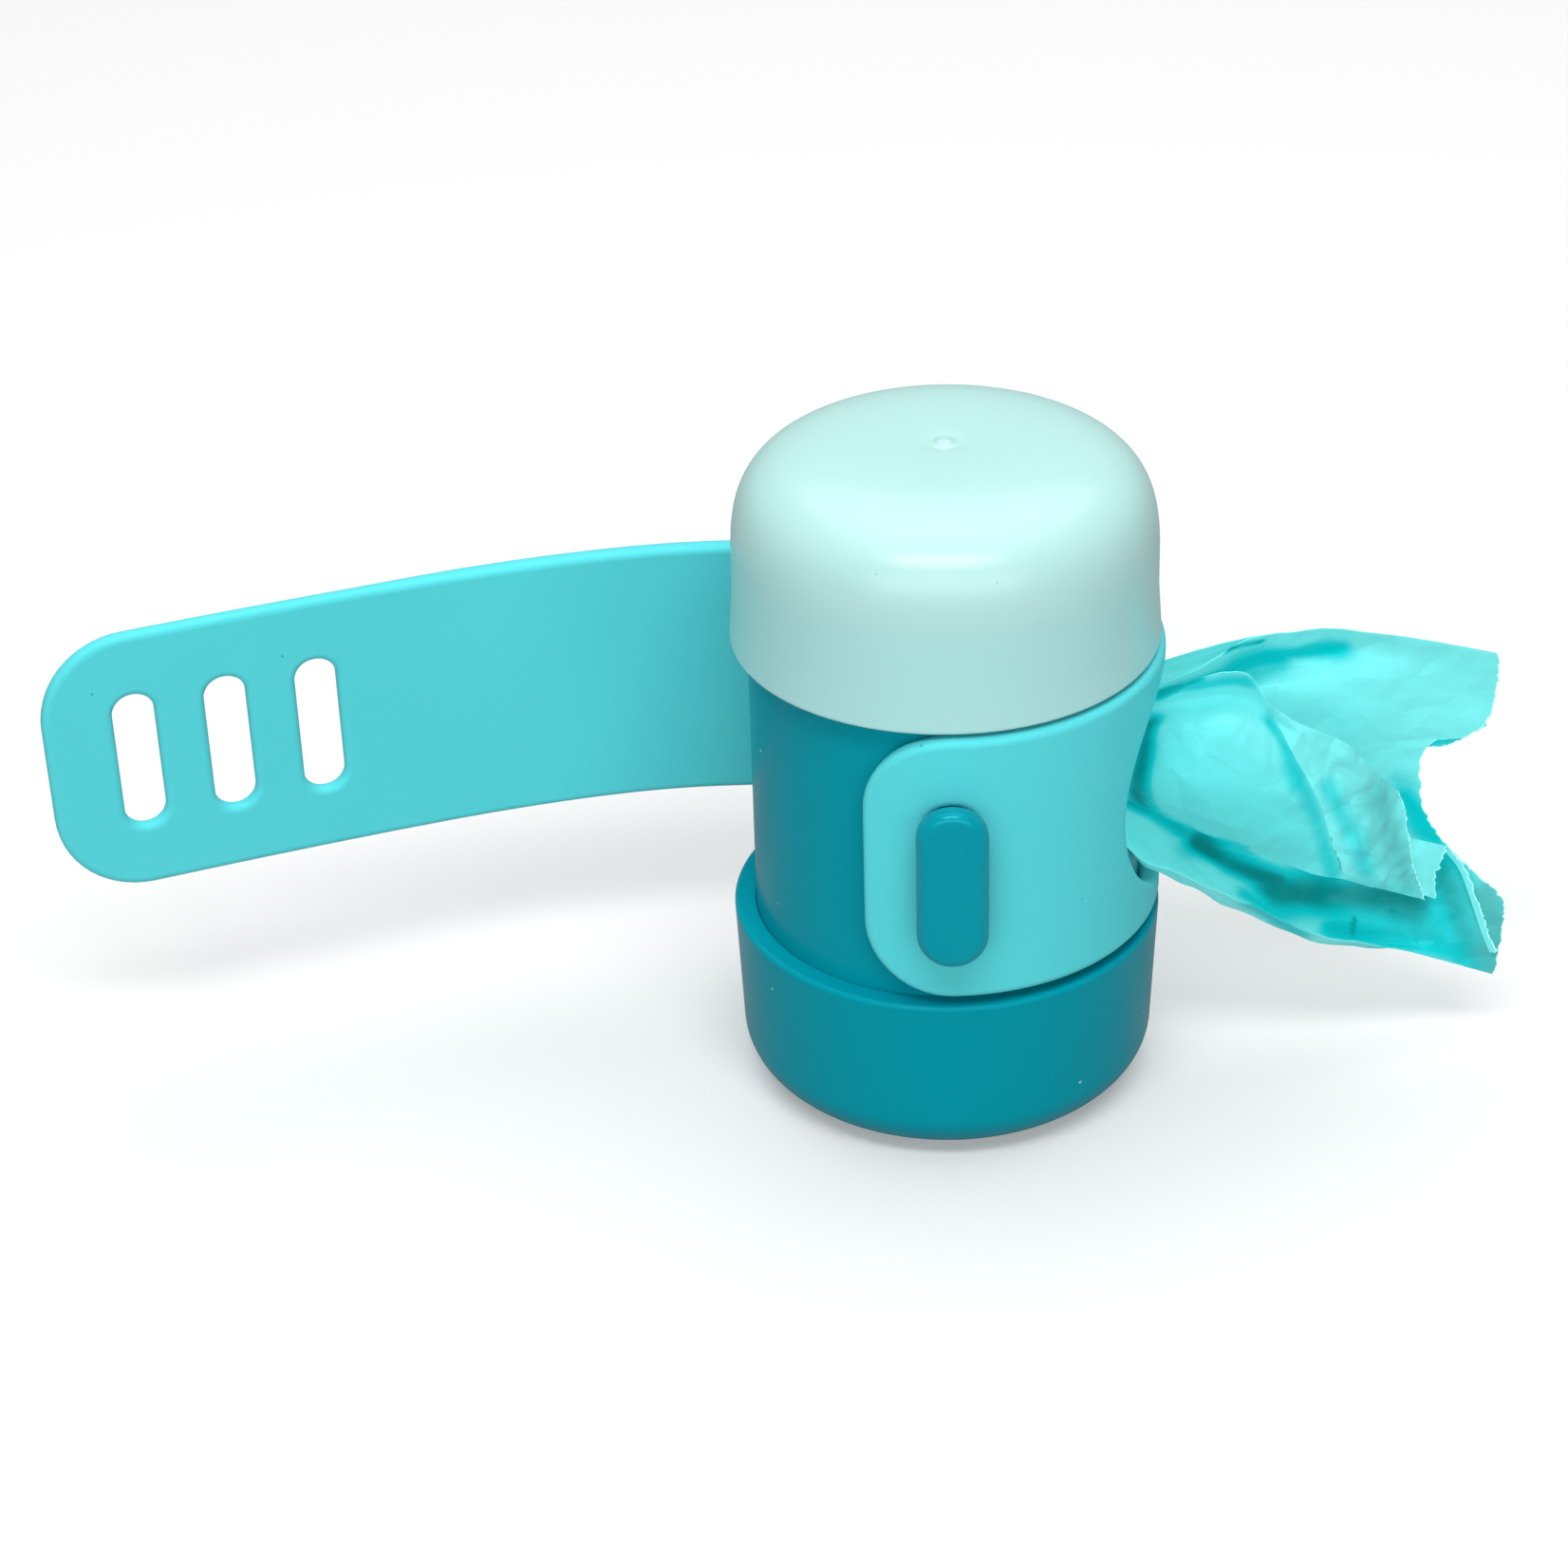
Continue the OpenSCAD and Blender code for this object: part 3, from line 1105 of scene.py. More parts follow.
@dataclass
class Cap:
    """The domed push-on cap, with the small nub that the moulding gate left on its dome."""

    draft: float = 0.4
    rim_round: float = 0.35
    bore_round: float = 0.15
    dome_h: float = 15.4
    dome_power: float = 4.15
    dome_t: float = 1.6
    dome_steps: int = 40
    inner_steps: int = 20
    shoulder_w: float = 1.0
    bore_gap: float = 0.05
    crown_radii: tuple[float, ...] = (7.2, 5.6, 4.2, 3.2)
    nub: tuple[Point2, ...] = (
        (2.4, -0.02), (1.9, -0.08), (1.45, -0.13), (1.1, -0.1), (0.9, 0.02),
        (0.72, 0.2), (0.5, 0.29), (0.25, 0.3),
    )

    def crown(self, r: float, dome_r: float, dome_z: float) -> float:
        """Gives the dome's height at a radius."""
        rise = (1 - (r / dome_r) ** self.dome_power) ** (1 / self.dome_power)
        return dome_z + self.dome_h * rise

    def outline(self) -> Outline:
        """Draws the cap's half section.

        Returns:
            The section, from the rim up the outside to the nub, and down the inside.
        """
        low, high = box_mm("top_cap")
        tube_high = box_mm("body_tube")[1]
        top = high.z - self.nub[-1][1]
        dome_z = top - self.dome_h
        dome_r = high.x - self.draft
        bore_r = tube_high.x + self.bore_gap
        inner_r = bore_r - self.shoulder_w
        inner_h = top - self.dome_t - tube_high.z
        outer = superellipse(dome_r, self.dome_h, dome_z, self.dome_power, self.dome_steps)
        inner = superellipse(inner_r, inner_h, tube_high.z, self.dome_power, self.inner_steps)
        return Outline(
            [
                Corner(bore_r, low.z, self.bore_round),
                Corner(high.x, low.z, self.rim_round),
                *outer,
                *[Corner(r, self.crown(r, dome_r, dome_z)) for r in self.crown_radii],
                *[Corner(r, top + rise) for r, rise in self.nub],
                Corner(0, high.z),
                Corner(0, top - self.dome_t),
                *reversed(inner),
                Corner(bore_r, tube_high.z),
            ]
        )

    def build(self, finishes: Finishes) -> None:
        """Turns and dresses the cap in one of the finishes."""
        piece = Piece.turned("cap_shell", self.outline())
        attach(piece.finish(finishes.mint, Slot.CAP, ["top_cap"]), Body.CAP.value)


@dataclass
class Stud:
    """The pill-shaped stud: a rounded head outside, a neck through strap and wall, a flange."""

    angle: float = -91.5
    neck: Point2 = (4.1, 14.9)
    neck_gap: float = 0.1
    cutter_span: Point2 = (16.0, 24.0)
    head_lip: float = 1.55
    head_round: float = 1.05
    head_steps: int = 6
    head_hold: float = 0.3
    head_under_round: float = 0.3
    under_steps: int = 2
    head_t: float = 2.0
    flange_t: float = 1.0
    flange_lip: float = 1.2
    flange_gap: float = 0.05
    neck_in_head: float = 0.5
    slice_width: float = 0.5

    def grown(self, lip: float) -> Point2:
        """Gives the neck's width and height, grown by a lip all round."""
        return self.neck[0] + 2 * lip, self.neck[1] + 2 * lip

    def stand(self, piece: Piece, curved: bool) -> None:
        """Stands a flat piece up at the stud's place on the case.

        Args:
            piece: The flat piece, whose height is its distance from the case axis.
            curved: Whether it is bent round that axis.
        """
        turn = math.radians(self.angle)
        out = Vector((math.cos(turn), math.sin(turn), 0))
        along = Vector((-math.sin(turn), math.cos(turn), 0))
        middle = middle_z("strap_stud")

        def stood(co: Vector) -> Vector:
            """Moves one point of the flat piece."""
            depth = math.sqrt(co.z * co.z - co.x * co.x) if curved else co.z
            return out * depth + along * co.x + Vector((0, 0, middle + co.y))

        piece.move_vertices(stood)

    def neck_cutter(self) -> Piece:
        """Makes the cutter of the neck's hole in the wall.

        Returns:
            The cutter.
        """
        cutter = Piece.pill("neck_cutter", self.grown(self.neck_gap), self.cutter_span)
        self.stand(cutter, False)
        return cutter

    def build(self, finishes: Finishes) -> None:
        """Joins head, neck and flange, curves them to the case and dresses them.

        Args:
            finishes: The object's materials.
        """
        reach = max(abs(v.co.y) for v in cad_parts["strap_stud"].data.vertices) / MM
        head_low = reach - self.head_t
        core = (head_low + self.head_under_round, reach - self.head_round)
        piece = Piece.pill("stud_head", self.grown(self.head_lip), core)
        piece.swell(1, self.head_round, self.head_steps, self.head_hold)
        piece.swell(-1, self.head_under_round, self.under_steps)
        flange_top = box_mm("body_tube")[1].x - Tube.wall - self.flange_gap
        flange_span = (flange_top - self.flange_t, flange_top)
        flange = Piece.pill("flange", self.grown(self.flange_lip), flange_span)
        neck_span = (flange_top - self.flange_t / 2, head_low + self.neck_in_head)
        neck = Piece.pill("neck", self.neck, neck_span)
        neck.combine(flange, "UNION")
        piece.combine(neck, "UNION")
        width = self.grown(self.head_lip)[0]
        count = int(width / self.slice_width)
        piece.slice_along_x([-width / 2 + (i + 0.5) * self.slice_width for i in range(count)])
        self.stand(piece, True)
        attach(piece.finish(finishes.polished, Slot.CASE, ["strap_stud"], 40), Body.CASE.value)


# --- The strap ---


@dataclass
class StrapCurve:
    """The line of the strap's inner face: round the case, then a tail that curves forwards."""

    radius: float
    end_turn: float = 20.5
    turn_start: float = 23.5
    turn_length: float = 19.0
    step: float = 0.1
    reach: float = 100.0
    line: list[Vector] = field(default_factory=list)

    def __post_init__(self) -> None:
        """Walks along the tail and keeps its points."""
        place = Vector((0, self.radius, 0))
        self.line = [place.copy()]
        for i in range(int(self.reach / self.step)):
            turn = self.heading((i + 0.5) * self.step)
            place = place + Vector((-math.cos(turn), -math.sin(turn), 0)) * self.step
            self.line.append(place.copy())

    def heading(self, s: float) -> float:
        """Gives the tail's turn at a place.

        Args:
            s: Distance along the inner face, from the back of the case.

        Returns:
            The turn in radians.
        """
        if s < self.turn_start:
            return 0.0
        share = 1 - math.exp(-(s - self.turn_start) / self.turn_length)
        return math.radians(self.end_turn) * share

    def place(self, s: float, z: float, depth: float) -> Vector:
        """Lays a point of the flat strap on the curve.

        Args:
            s: Distance along the inner face, from the back of the case.
            z: Height.
            depth: Distance out from the inner face.

        Returns:
            The point.
        """
        if s <= 0:
            turn = math.pi / 2 + s / self.radius
            out = self.radius + depth
            return Vector((out * math.cos(turn), out * math.sin(turn), z))
        index = min(s / self.step, len(self.line) - 1.001)
        whole = int(index)
        spot = self.line[whole].lerp(self.line[whole + 1], index - whole)
        turn = self.heading(s)
        return spot + Vector((-math.sin(turn) * depth, math.cos(turn) * depth, z))


@dataclass
class Strap:
    """The silicone strap, moulded flat in one piece, wrapped round the case and left open."""

    thickness: float = 2.2
    tip_thickness: float = 1.8
    thin_from: float = 50.0
    thin_to: float = 63.0
    near_turn: float = 115.0
    near_corner: float = 8.5
    tip_corner: float = 9.5
    corner_steps: int = 14
    corner_reach: float = 0.1
    case_gap: float = 0.05
    neck_gap: float = 0.1
    hole_half: Point2 = (13.43, 13.2)
    slot_size: Point2 = (4.5, 15.8)
    slot_starts: tuple[float, ...] = (9.5, 4.95, 14.7)
    rim_round: float = 0.75
    rim_steps: int = 4
    hold: float = 0.1
    clear: float = 1.6
    slice_width: float = 1.0
    lengths: tuple[float, ...] = (14.8, 14.3, 14.3, 14.3, 14.3, 24.3)
    last_seam_shift: float = -3.4

    def bends(self) -> list[float]:
        """Gives the distance of each bend from the back of the case."""
        return [sum(self.lengths[: i + 1]) for i in range(5)]

    def seams(self) -> list[float]:
        """Finds the middles of the stretches between bends.

        Returns:
            Where the strap is parted, as distances from the back of the case.
        """
        bends = self.bends()
        middles = [(a + b) / 2 for a, b in zip([0.0, *bends], bends)]
        middles[-1] += self.last_seam_shift
        return middles

    def blank(self, curve: StrapCurve, stud: Stud) -> Piece:
        """Models the strap flat: length along X, width along Y, thickness along Z.

        Args:
            curve: The line that it will lie on.
            stud: The stud, whose neck passes the strap.

        Returns:
            The flat strap.
        """
        low, high = box_mm("strap_band")
        half = (high.z - low.z) / 2
        start = -math.radians(self.near_turn + 90) * curve.radius
        end = sum(self.lengths)
        bends = self.bends()
        core = (self.rim_round, self.thickness - self.rim_round)
        piece = Piece.plate("strap_blank", (start, end), (-half, half), core)
        steps = self.corner_steps
        piece.round_upright_edges(self.near_corner, steps, x_to=start + self.corner_reach)
        piece.round_upright_edges(self.tip_corner, steps, x_from=end - self.corner_reach)
        outlet_at = -math.pi / 2 * curve.radius
        stud_at = math.radians(stud.angle - 90) * curve.radius
        neck = stud.grown(self.neck_gap)
        slots = [bend + at for bend, at in zip((bends[3], bends[4], bends[4]), self.slot_starts)]
        holes = [(outlet_at, self.hole_half[0]), (stud_at, neck[0] / 2)]
        holes += [(at, self.slot_size[0] / 2) for at in slots]
        holes += [(start, self.near_corner), (end, self.tip_corner)]
        count = int((end - start) / self.slice_width)
        places = [start + (i + 0.5) * self.slice_width for i in range(count)]
        inside = [x for x in places if any(abs(x - at) < reach + self.clear for at, reach in holes)]
        piece.slice_along_x([x for x in places if x not in inside])
        at = (outlet_at, 0, self.thickness / 2)
        hole = Piece.rod("hole_cutter", 1, 3 * self.thickness, at, stretch=self.hole_half)
        piece.combine(hole, "DIFFERENCE")
        through = (-1, self.thickness + 1)
        for size, place in [*[(self.slot_size, x) for x in slots], (neck, stud_at)]:
            cutter = Piece.pill("slot_cutter", size, through, (place, 0))
            piece.combine(cutter, "DIFFERENCE")
        for side in (1, -1):
            piece.swell(side, self.rim_round, self.rim_steps, self.hold)
        piece.slice_along_x(inside)
        return piece

    def lay(self, piece: Piece, curve: StrapCurve, middle: float) -> None:
        """Lays a flat piece of the strap on its curve, thinner towards the free end.

        Args:
            piece: The flat piece.
            curve: The strap's line.
            middle: Height of the strap's middle.
        """

        def laid(co: Vector) -> Vector:
            """Moves one point of the flat strap.

            Args:
                co: The point.

            Returns:
                Its place on the curve.
            """
            share = (co.x - self.thin_from) / (self.thin_to - self.thin_from)
            share = min(max(share, 0.0), 1.0)
            thin = 1 + (self.tip_thickness / self.thickness - 1) * share
            return curve.place(co.x, middle + co.y, co.z * thin)

        piece.move_vertices(laid)

    def build(self, finishes: Finishes, stud: Stud) -> None:
        """Models, parts, lays and dresses the strap.

        Args:
            finishes: The object's materials.
            stud: The stud.
        """
        middle = middle_z("strap_band")
        curve = StrapCurve(box_mm("body_tube")[1].x + self.case_gap)
        blank = self.blank(curve, stud)
        seams = self.seams()
        nodes = ["strap_band", *[f"strap_tail_{i}" for i in range(1, 5)], "strap_end"]
        names = ["strap_wrap", *[f"strap_flex_{i}" for i in range(1, 5)], "strap_slotted_end"]
        bodies = [Body.CASE.value, *[f"tail_{i}" for i in range(1, 6)]]
        starts = [None, *seams]
        ends = [*seams, None]
        for i, name in enumerate(names):
            part = blank.part_along_x(name, starts[i], ends[i])
            self.lay(part, curve, middle)
            made = part.finish(finishes.aqua, Slot.STRAP, [nodes[i]])
            if i == 0:
                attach(made, bodies[0])
                continue
            bend = self.bends()[i - 1]
            reach = min(bend - seams[i - 1], (ends[i] or math.inf) - bend)
            first = curve.place(bend - reach, middle, 0) * MM
            last = curve.place(bend + reach, middle, 0) * MM
            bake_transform(made)
        bpy.data.objects.remove(blank.obj)


# --- The roll of bags ---


@dataclass
class BagRoll:
    """The wound roll of bags on its paper core."""

    layer: float = 0.28
    layer_gap: float = 0.02
    jitter: float = 0.3
    corner_drop: float = 0.2
    core_wall: float = 1.0
    core_round: float = 0.2
    steps: int = 96
    seed: int = 7

    def build(self, finishes: Finishes) -> None:
        """Turns and dresses the wound bags and the core.

        Args:
            finishes: The object's materials.
        """
        low, high = box_mm("bag_roll")
        core_low, core_high = box_mm("roll_core")
        draw = random.Random(self.seed)
        depth = high.x - core_high.x
        count = int(depth / self.layer)
        radii = [core_high.x + self.layer_gap + depth * i / count for i in range(count)]
        top = [Corner(r, high.z - draw.uniform(0, self.jitter)) for r in radii]
        foot = [Corner(r, low.z + draw.uniform(0, self.jitter)) for r in reversed(radii)]
        side = [Corner(high.x, high.z - self.corner_drop), Corner(high.x, low.z + self.corner_drop)]
        bags = Piece.turned("wound_bags", Outline([*top, *side, *foot]), self.steps)
        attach(bags.finish(finishes.wound, Slot.FILM, ["bag_roll"], 60), Body.ROLL.value)
        bore, outer = core_high.x - self.core_wall, core_high.x
        ends = ((bore, core_low.z), (outer, core_low.z), (outer, core_high.z), (bore, core_high.z))
        ring = [Corner(r, z, self.core_round) for r, z in ends]
        core = Piece.turned("paper_core", Outline(ring, arc_steps=2), self.steps)
        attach(core.finish(finishes.kraft, Slot.CORE, ["roll_core"]), Body.ROLL.value)


# --- The drawn-out bag ---


@dataclass(frozen=True)
class Shade:
    """A soft stroke of painted shade where the film looks deeper, partly standing for film lying
    double: its two ends, its reach and its share.
    """

    start: Point3
    end: Point3
    reach: float
    share: float
    wander: float = 0.55
    wander_size: float = 4.5

    def at(self, place: np.ndarray) -> float:
        """Gives the stroke's share at a place.

        Args:
            place: The point on the film.

        Returns:
            The share, falling off away from the stroke.
        """
        start = np.array(self.start)
        run = np.array(self.end) - start
        along = np.clip((place - start) @ run / (run @ run), 0, 1)
        far = np.linalg.norm(place - start - run * along) / self.reach
        far *= 1 + self.wander * noise.noise(Vector(place) / self.wander_size)
        return self.share * math.exp(-far * far)


@dataclass(frozen=True)
class Leaf:
    """One layer of the drawn-out film: rows of points from top to bottom, each going outwards.

    A rim is a line of points, each with its row, that the outer part is stretched to.
    """

    rows: Sequence[Sequence[Point3]]
    rim: Sequence[tuple[float, Point3]] = ()
    across: int = 60
    down: int = 60
    pleat: float = 0.2
    crumple: float = 0.3
    crumple_size: float = 6.0
    fine: float = 0.2
    ragged: float = 0.0
    fringe: float = 0.18
    creased: float = 0.3
    shades: Sequence[Shade] = ()
    hazes_and_shades: Sequence[Shade] = ()
    seed: float = 0.0
    rim_from: float = 0.55
    rim_run: float = 0.45
    pleat_waves: Point2 = (15, 34)
    pleat_fade: float = 3.5
    crumple_grow: float = 5

    @staticmethod
    def spline(points: np.ndarray, count: int) -> np.ndarray:
        """Runs smooth curves through rows of points.

        Args:
            points: The points, whose first axis runs along the curves.
            count: Number of steps along each curve.

        Returns:
            The points of the curves, with count + 1 along the first axis.
        """
        padded = np.concatenate(
            [2 * points[:1] - points[1:2], points, 2 * points[-1:] - points[-2:-1]]
        )
        made = []
        for step in range(count + 1):
            at = step / count * (len(points) - 1)
            i = min(int(at), len(points) - 2)
            t = at - i
            a, b, c, d = padded[i : i + 4]
            cubic = (3 * b - a - 3 * c + d) * t**3
            square = (2 * a - 5 * b + 4 * c - d) * t**2
            made.append(0.5 * (2 * b + (c - a) * t + square + cubic))
        return np.array(made)

    def surface(self) -> np.ndarray:
        """Runs the smooth surface through the rows, then adds its rim, pleats and crumples.

        Returns:
            The points, as an array of down + 1 by across + 1 by 3.
        """
        grid = self.spline(np.array(self.rows, float), self.down)
        grid = self.spline(grid.swapaxes(0, 1), self.across).swapaxes(0, 1)
        if self.rim:
            grid = self.reach_rim(grid)
        out = np.gradient(grid, axis=1)
        down = np.gradient(grid, axis=0)
        normal = np.cross(out, down)
        normal /= np.linalg.norm(normal, axis=2, keepdims=True) + 1e-9
        rise = np.zeros(grid.shape[:2])
        for j in range(self.down + 1):
            for i in range(self.across + 1):
                rise[j, i] = self.rise(grid[j, i], i / self.across, j / self.down)
        grid = grid + normal * rise[:, :, None]
        if self.ragged:
            grid = self.tear(grid)
        return grid

    def reach_rim(self, grid: np.ndarray) -> np.ndarray:
        """Stretches the outer part of the surface to the rim's own line.

        Args:
            grid: The points of the surface.

        Returns:
            The points, whose last column lies on the rim.
        """
        at = np.linspace(0, len(self.rows) - 1, self.down + 1)
        rows = [row for row, point in self.rim]
        points = np.array([point for row, point in self.rim])
        line = np.stack([np.interp(at, rows, points[:, axis]) for axis in range(3)], axis=1)
        out = np.linspace(0, 1, self.across + 1)
        share = np.clip((out - self.rim_from) / self.rim_run, 0, 1)
        share = share * share * (3 - 2 * share)
        return grid + (line - grid[:, -1])[:, None, :] * share[None, :, None]

    def rise(self, place: np.ndarray, out: float, down: float) -> float:
        """Gives how far the film stands off its smooth surface.

        Args:
            place: The point.
            out: How far out it is, 0 to 1.
            down: How far down it is, 0 to 1.

        Returns:
            The distance.
        """
        spot = Vector(place) / self.crumple_size + Vector((self.seed, 0, 0))
        ridged = sum(
            share * (1 - 2 * abs(noise.noise(spot * scale)))
            for share, scale in ((1.0, 1.0), (0.5, 2.3), (self.fine, 4.7))
        )
        broad, narrow = self.pleat_waves
        wave = math.sin(down * broad + 3 * noise.noise(spot))
        wave += 0.4 * math.sin(down * narrow + self.seed)
        pleats = self.pleat * wave * math.exp(-out * self.pleat_fade)
        return pleats + self.crumple * (ridged - 0.9) * min(1.0, out * self.crumple_grow)

    def tear(self, grid: np.ndarray) -> np.ndarray:
        """Roughens the outer edge as the torn perforation left it, with a narrow last column.

        Args:
            grid: The points.

        Returns:
            The points with a ragged outer column.
        """
        draw = random.Random(int(self.seed * 10) + 3)
        for j in range(len(grid)):
            inward = grid[j, -3] - grid[j, -1]
            inward /= np.linalg.norm(inward) + 1e-9
            grid[j, -1] += inward * draw.uniform(-self.ragged, self.ragged)
            grid[j, -2] = grid[j, -1] + inward * self.fringe
        return grid


# The sheet behind, which carries the torn edge with the thumb notch.
BACK_SHEET = Leaf(
    rows=[
        [(17.5, -1, 44.5), (22, -2, 45.7), (25.6, -2.5, 47.3), (30.4, -1, 49.6),
         (36, 1, 49.5), (43.5, 2, 48.8), (57.6, 3, 45.1)],
        [(17.5, 1, 42), (22.2, 1, 43), (26.3, 2.5, 42.7), (32.2, 4, 43.9),
         (37.3, 4, 45), (44.7, 3, 46.4), (57.7, 3.5, 42.1)],
        [(17.5, 1.5, 39), (21.6, 1, 40.5), (26.6, 1.5, 40.6), (32.9, 1.5, 42.1),
         (38.3, 1.5, 42.4), (45.6, 1, 43), (57.1, 2, 38.9)],
        [(17.5, 1.5, 36), (21.1, 1.5, 35.7), (26.5, 2, 35.2), (33.3, 2, 35.5),
         (39.2, 2, 36.1), (45.6, 1.5, 36.5), (54.6, 2, 35.6)],
        [(17.5, 1.5, 33), (20.7, 1.5, 31), (26.3, 2.5, 29.6), (33.1, 2.5, 28.8),
         (39.1, 2.5, 29.2), (44.5, 2, 29.9), (50.2, 1.5, 30)],
        [(17.5, 1, 30.5), (20.7, 2, 27), (25.8, 3, 24), (32, 3.5, 21.1),
         (38.6, 3, 20.6), (44.9, 2, 22.8), (53, 1, 23.3)],
        [(17.5, -1, 28.5), (20.6, -1, 26.1), (24.3, -1, 23.6), (30.4, -1.5, 20.1),
         (37.1, -1.5, 17.5), (44.8, -1, 15.7), (57, 0, 18.8)],
        [(17.5, -4.6, 28.9), (20.3, -5.5, 26.3), (23.6, -6, 24.5), (29.9, -5.5, 20.1),
         (38.5, -4.5, 15.2), (47.5, -3, 13.1), (59.2, -1.5, 14.3)],
        [(17.2, -6.2, 29.8), (20.4, -8.3, 28.0), (23, -9.3, 27.2), (29, -8.5, 23.7),
         (37.8, -7, 17.7), (48.6, -4, 13), (58.9, -2, 8.1)],
    ],
    rim=[
        (0, (57.3, 3.0, 45.1)), (0.12, (57.6, 3.0, 44.7)),
        (0.6, (57.7, 3.2, 43.1)), (1.2, (57.8, 3.4, 41.2)),
        (1.8, (57.6, 3.4, 38.9)), (2.1, (57.3, 3.2, 37.7)), (2.4, (56.7, 2.8, 36.6)),
        (2.65, (55.6, 2.5, 36.0)), (2.9, (54.2, 2.3, 35.4)), (3.1, (52.8, 2.2, 35.4)),
        (3.3, (51.4, 2.1, 35.4)), (3.45, (50.5, 2.0, 34.6)), (3.6, (50.1, 2.0, 33.7)),
        (3.8, (50.0, 1.9, 31.8)), (4, (50.2, 1.8, 29.9)), (4.3, (50.4, 1.7, 28.0)),
        (4.7, (51.5, 1.5, 25.4)), (5, (53.0, 1.2, 23.3)), (5.4, (54.9, 0.8, 21.2)),
        (5.8, (56.8, 0.4, 19.3)), (6.2, (58.5, 0.0, 18.0)), (6.5, (59.5, -0.4, 16.7)),
        (6.8, (59.6, -0.8, 15.2)), (7.05, (59.5, -1.1, 14.0)), (7.3, (59.4, -1.4, 12.7)),
        (7.7, (59.1, -1.7, 10.4)), (7.9, (59.0, -1.9, 9.0)), (8, (58.6, -2.0, 8.3)),
    ],
    across=100, down=130, crumple=0.22, crumple_size=8.0, ragged=0.14, fine=0.12, creased=0.5,
    shades=[
        Shade((22.5, 1, 42.5), (25.5, 1.5, 44), 1.0, 0.75),
        Shade((25.5, 1, 44.5), (30, 3, 44.5), 1.9, 0.55),
        Shade((30, 2.5, 45), (34.5, 4, 45), 2.6, 0.55),
        Shade((34.5, 4, 45.5), (41, 3.5, 46), 1.5, 0.55),
        Shade((29, -1.5, 49), (32.5, 0.5, 48.5), 0.5, 1.0),
        Shade((48.5, 1.5, 28.5), (52, 1, 24), 2.0, 0.55),
        Shade((19.5, 2, 29), (27, 3, 23.5), 0.9, 0.75),
        Shade((27, 3, 23), (35.5, 1, 19), 2.0, 1.0),
        Shade((35, 0, 18.5), (50, -0.5, 17.5), 3.2, 0.95),
        Shade((31.5, -2, 19.3), (35, -3, 17.5), 1.5, 0.5),
        Shade((31.5, -8, 21.7), (37, -6, 17), 1.6, 0.5),
        Shade((41, -2.5, 15), (54, -2, 13.5), 2.2, 0.6),
        Shade((52.5, 0.5, 20.5), (55.5, -2, 13.5), 2.8, 0.8),
        Shade((50, -1.5, 14), (57, -2, 11), 2.5, 0.65),
        Shade((43.5, -1, 15.5), (43, -2.5, 14), 0.6, 0.9),
    ],
    hazes_and_shades=[
        Shade((57.5, -0.5, 17.5), (59.5, -2, 9.5), 2.8, 1.0),
        Shade((54.5, 0, 19), (56.5, -1.5, 13), 1.5, 0.35),
    ],
    seed=1.0,
)

# The strip behind its upper edge.
BACK_STRIP = Leaf(
    rows=[
        [(17.5, 3.5, 46), (22.2, 4, 44.8), (27.1, 4, 46.2), (32.5, 3.5, 47.7), (38.2, 3, 48.5)],
        [(17.5, 3.5, 44.5), (22.3, 4.5, 43), (27, 4.5, 44.3), (32.2, 4.5, 46), (37.8, 4, 47.3)],
        [(17.5, 3, 43), (22.2, 4, 41.7), (26.9, 4.5, 42.4), (31.8, 5, 44.2), (37.2, 5, 45.6)],
    ],
    across=50, down=20, crumple=0.15, seed=2.0,
)

# The flap in front, gathered in the outlet.
FLAP = Leaf(
    rows=[
        [(17, -3, 43.3), (21.6, -4, 45.3), (25.2, -6, 48.2),
         (28.2, -7, 49.4), (30.3, -7.5, 49.3), (31.7, -8, 46.6)],
        [(17, -3, 42), (21.1, -3.5, 43.3), (25.2, -4, 44.6),
         (28.9, -4.5, 45.1), (31.4, -6, 45.3), (33.2, -7, 43.6)],
        [(17, -4, 40.5), (20.1, -6, 42.4), (24, -9, 44.5),
         (28.6, -10, 45.5), (32.4, -9.5, 43.4), (34.8, -8.5, 40.6)],
        [(17, -4.8, 38.5), (19.1, -7.5, 39.3), (23.4, -11, 40.5),
         (28.9, -12, 39.4), (34.4, -11, 38.1), (37.6, -9.5, 35.3)],
        [(17, -4.8, 36.3), (18.8, -7.5, 36.5), (23.2, -10.5, 36.1),
         (29.5, -11.5, 33.8), (35.4, -11, 31.8), (39.2, -10, 30.2)],
        [(17, -4, 34.6), (18.6, -6.5, 34.5), (23.3, -9, 33.1),
         (30.1, -10, 30.3), (37.2, -10, 27.1), (40.9, -9.5, 25.8)],
    ],
    across=72, down=60, pleat=0.1, crumple=0.2, creased=0.5,
    shades=[
        Shade((21.6, -4, 45.3), (25.2, -6, 48), 1.0, 0.7),
        Shade((24.5, -5, 46.5), (30, -6.5, 48), 1.3, 0.5),
        Shade((20.8, -5.5, 42.8), (19.6, -8, 39.4), 1.7, 0.85),
        Shade((19.6, -8, 39.4), (19.2, -7.5, 35), 1.7, 0.85),
        Shade((32.5, -8, 43.5), (35.5, -10, 38.5), 1.8, 0.45),
        Shade((35.5, -10, 38.5), (39.5, -10, 26.5), 1.5, 0.4),
        Shade((31.5, -11, 32), (39, -10, 26.5), 1.5, 0.2),
        Shade((18.9, -7, 34.8), (30, -10, 30.5), 0.9, 0.5),
        Shade((22, -9, 40), (35, -11, 31), 12.0, 0.22, 0.3),
    ],
    seed=3.0,
)

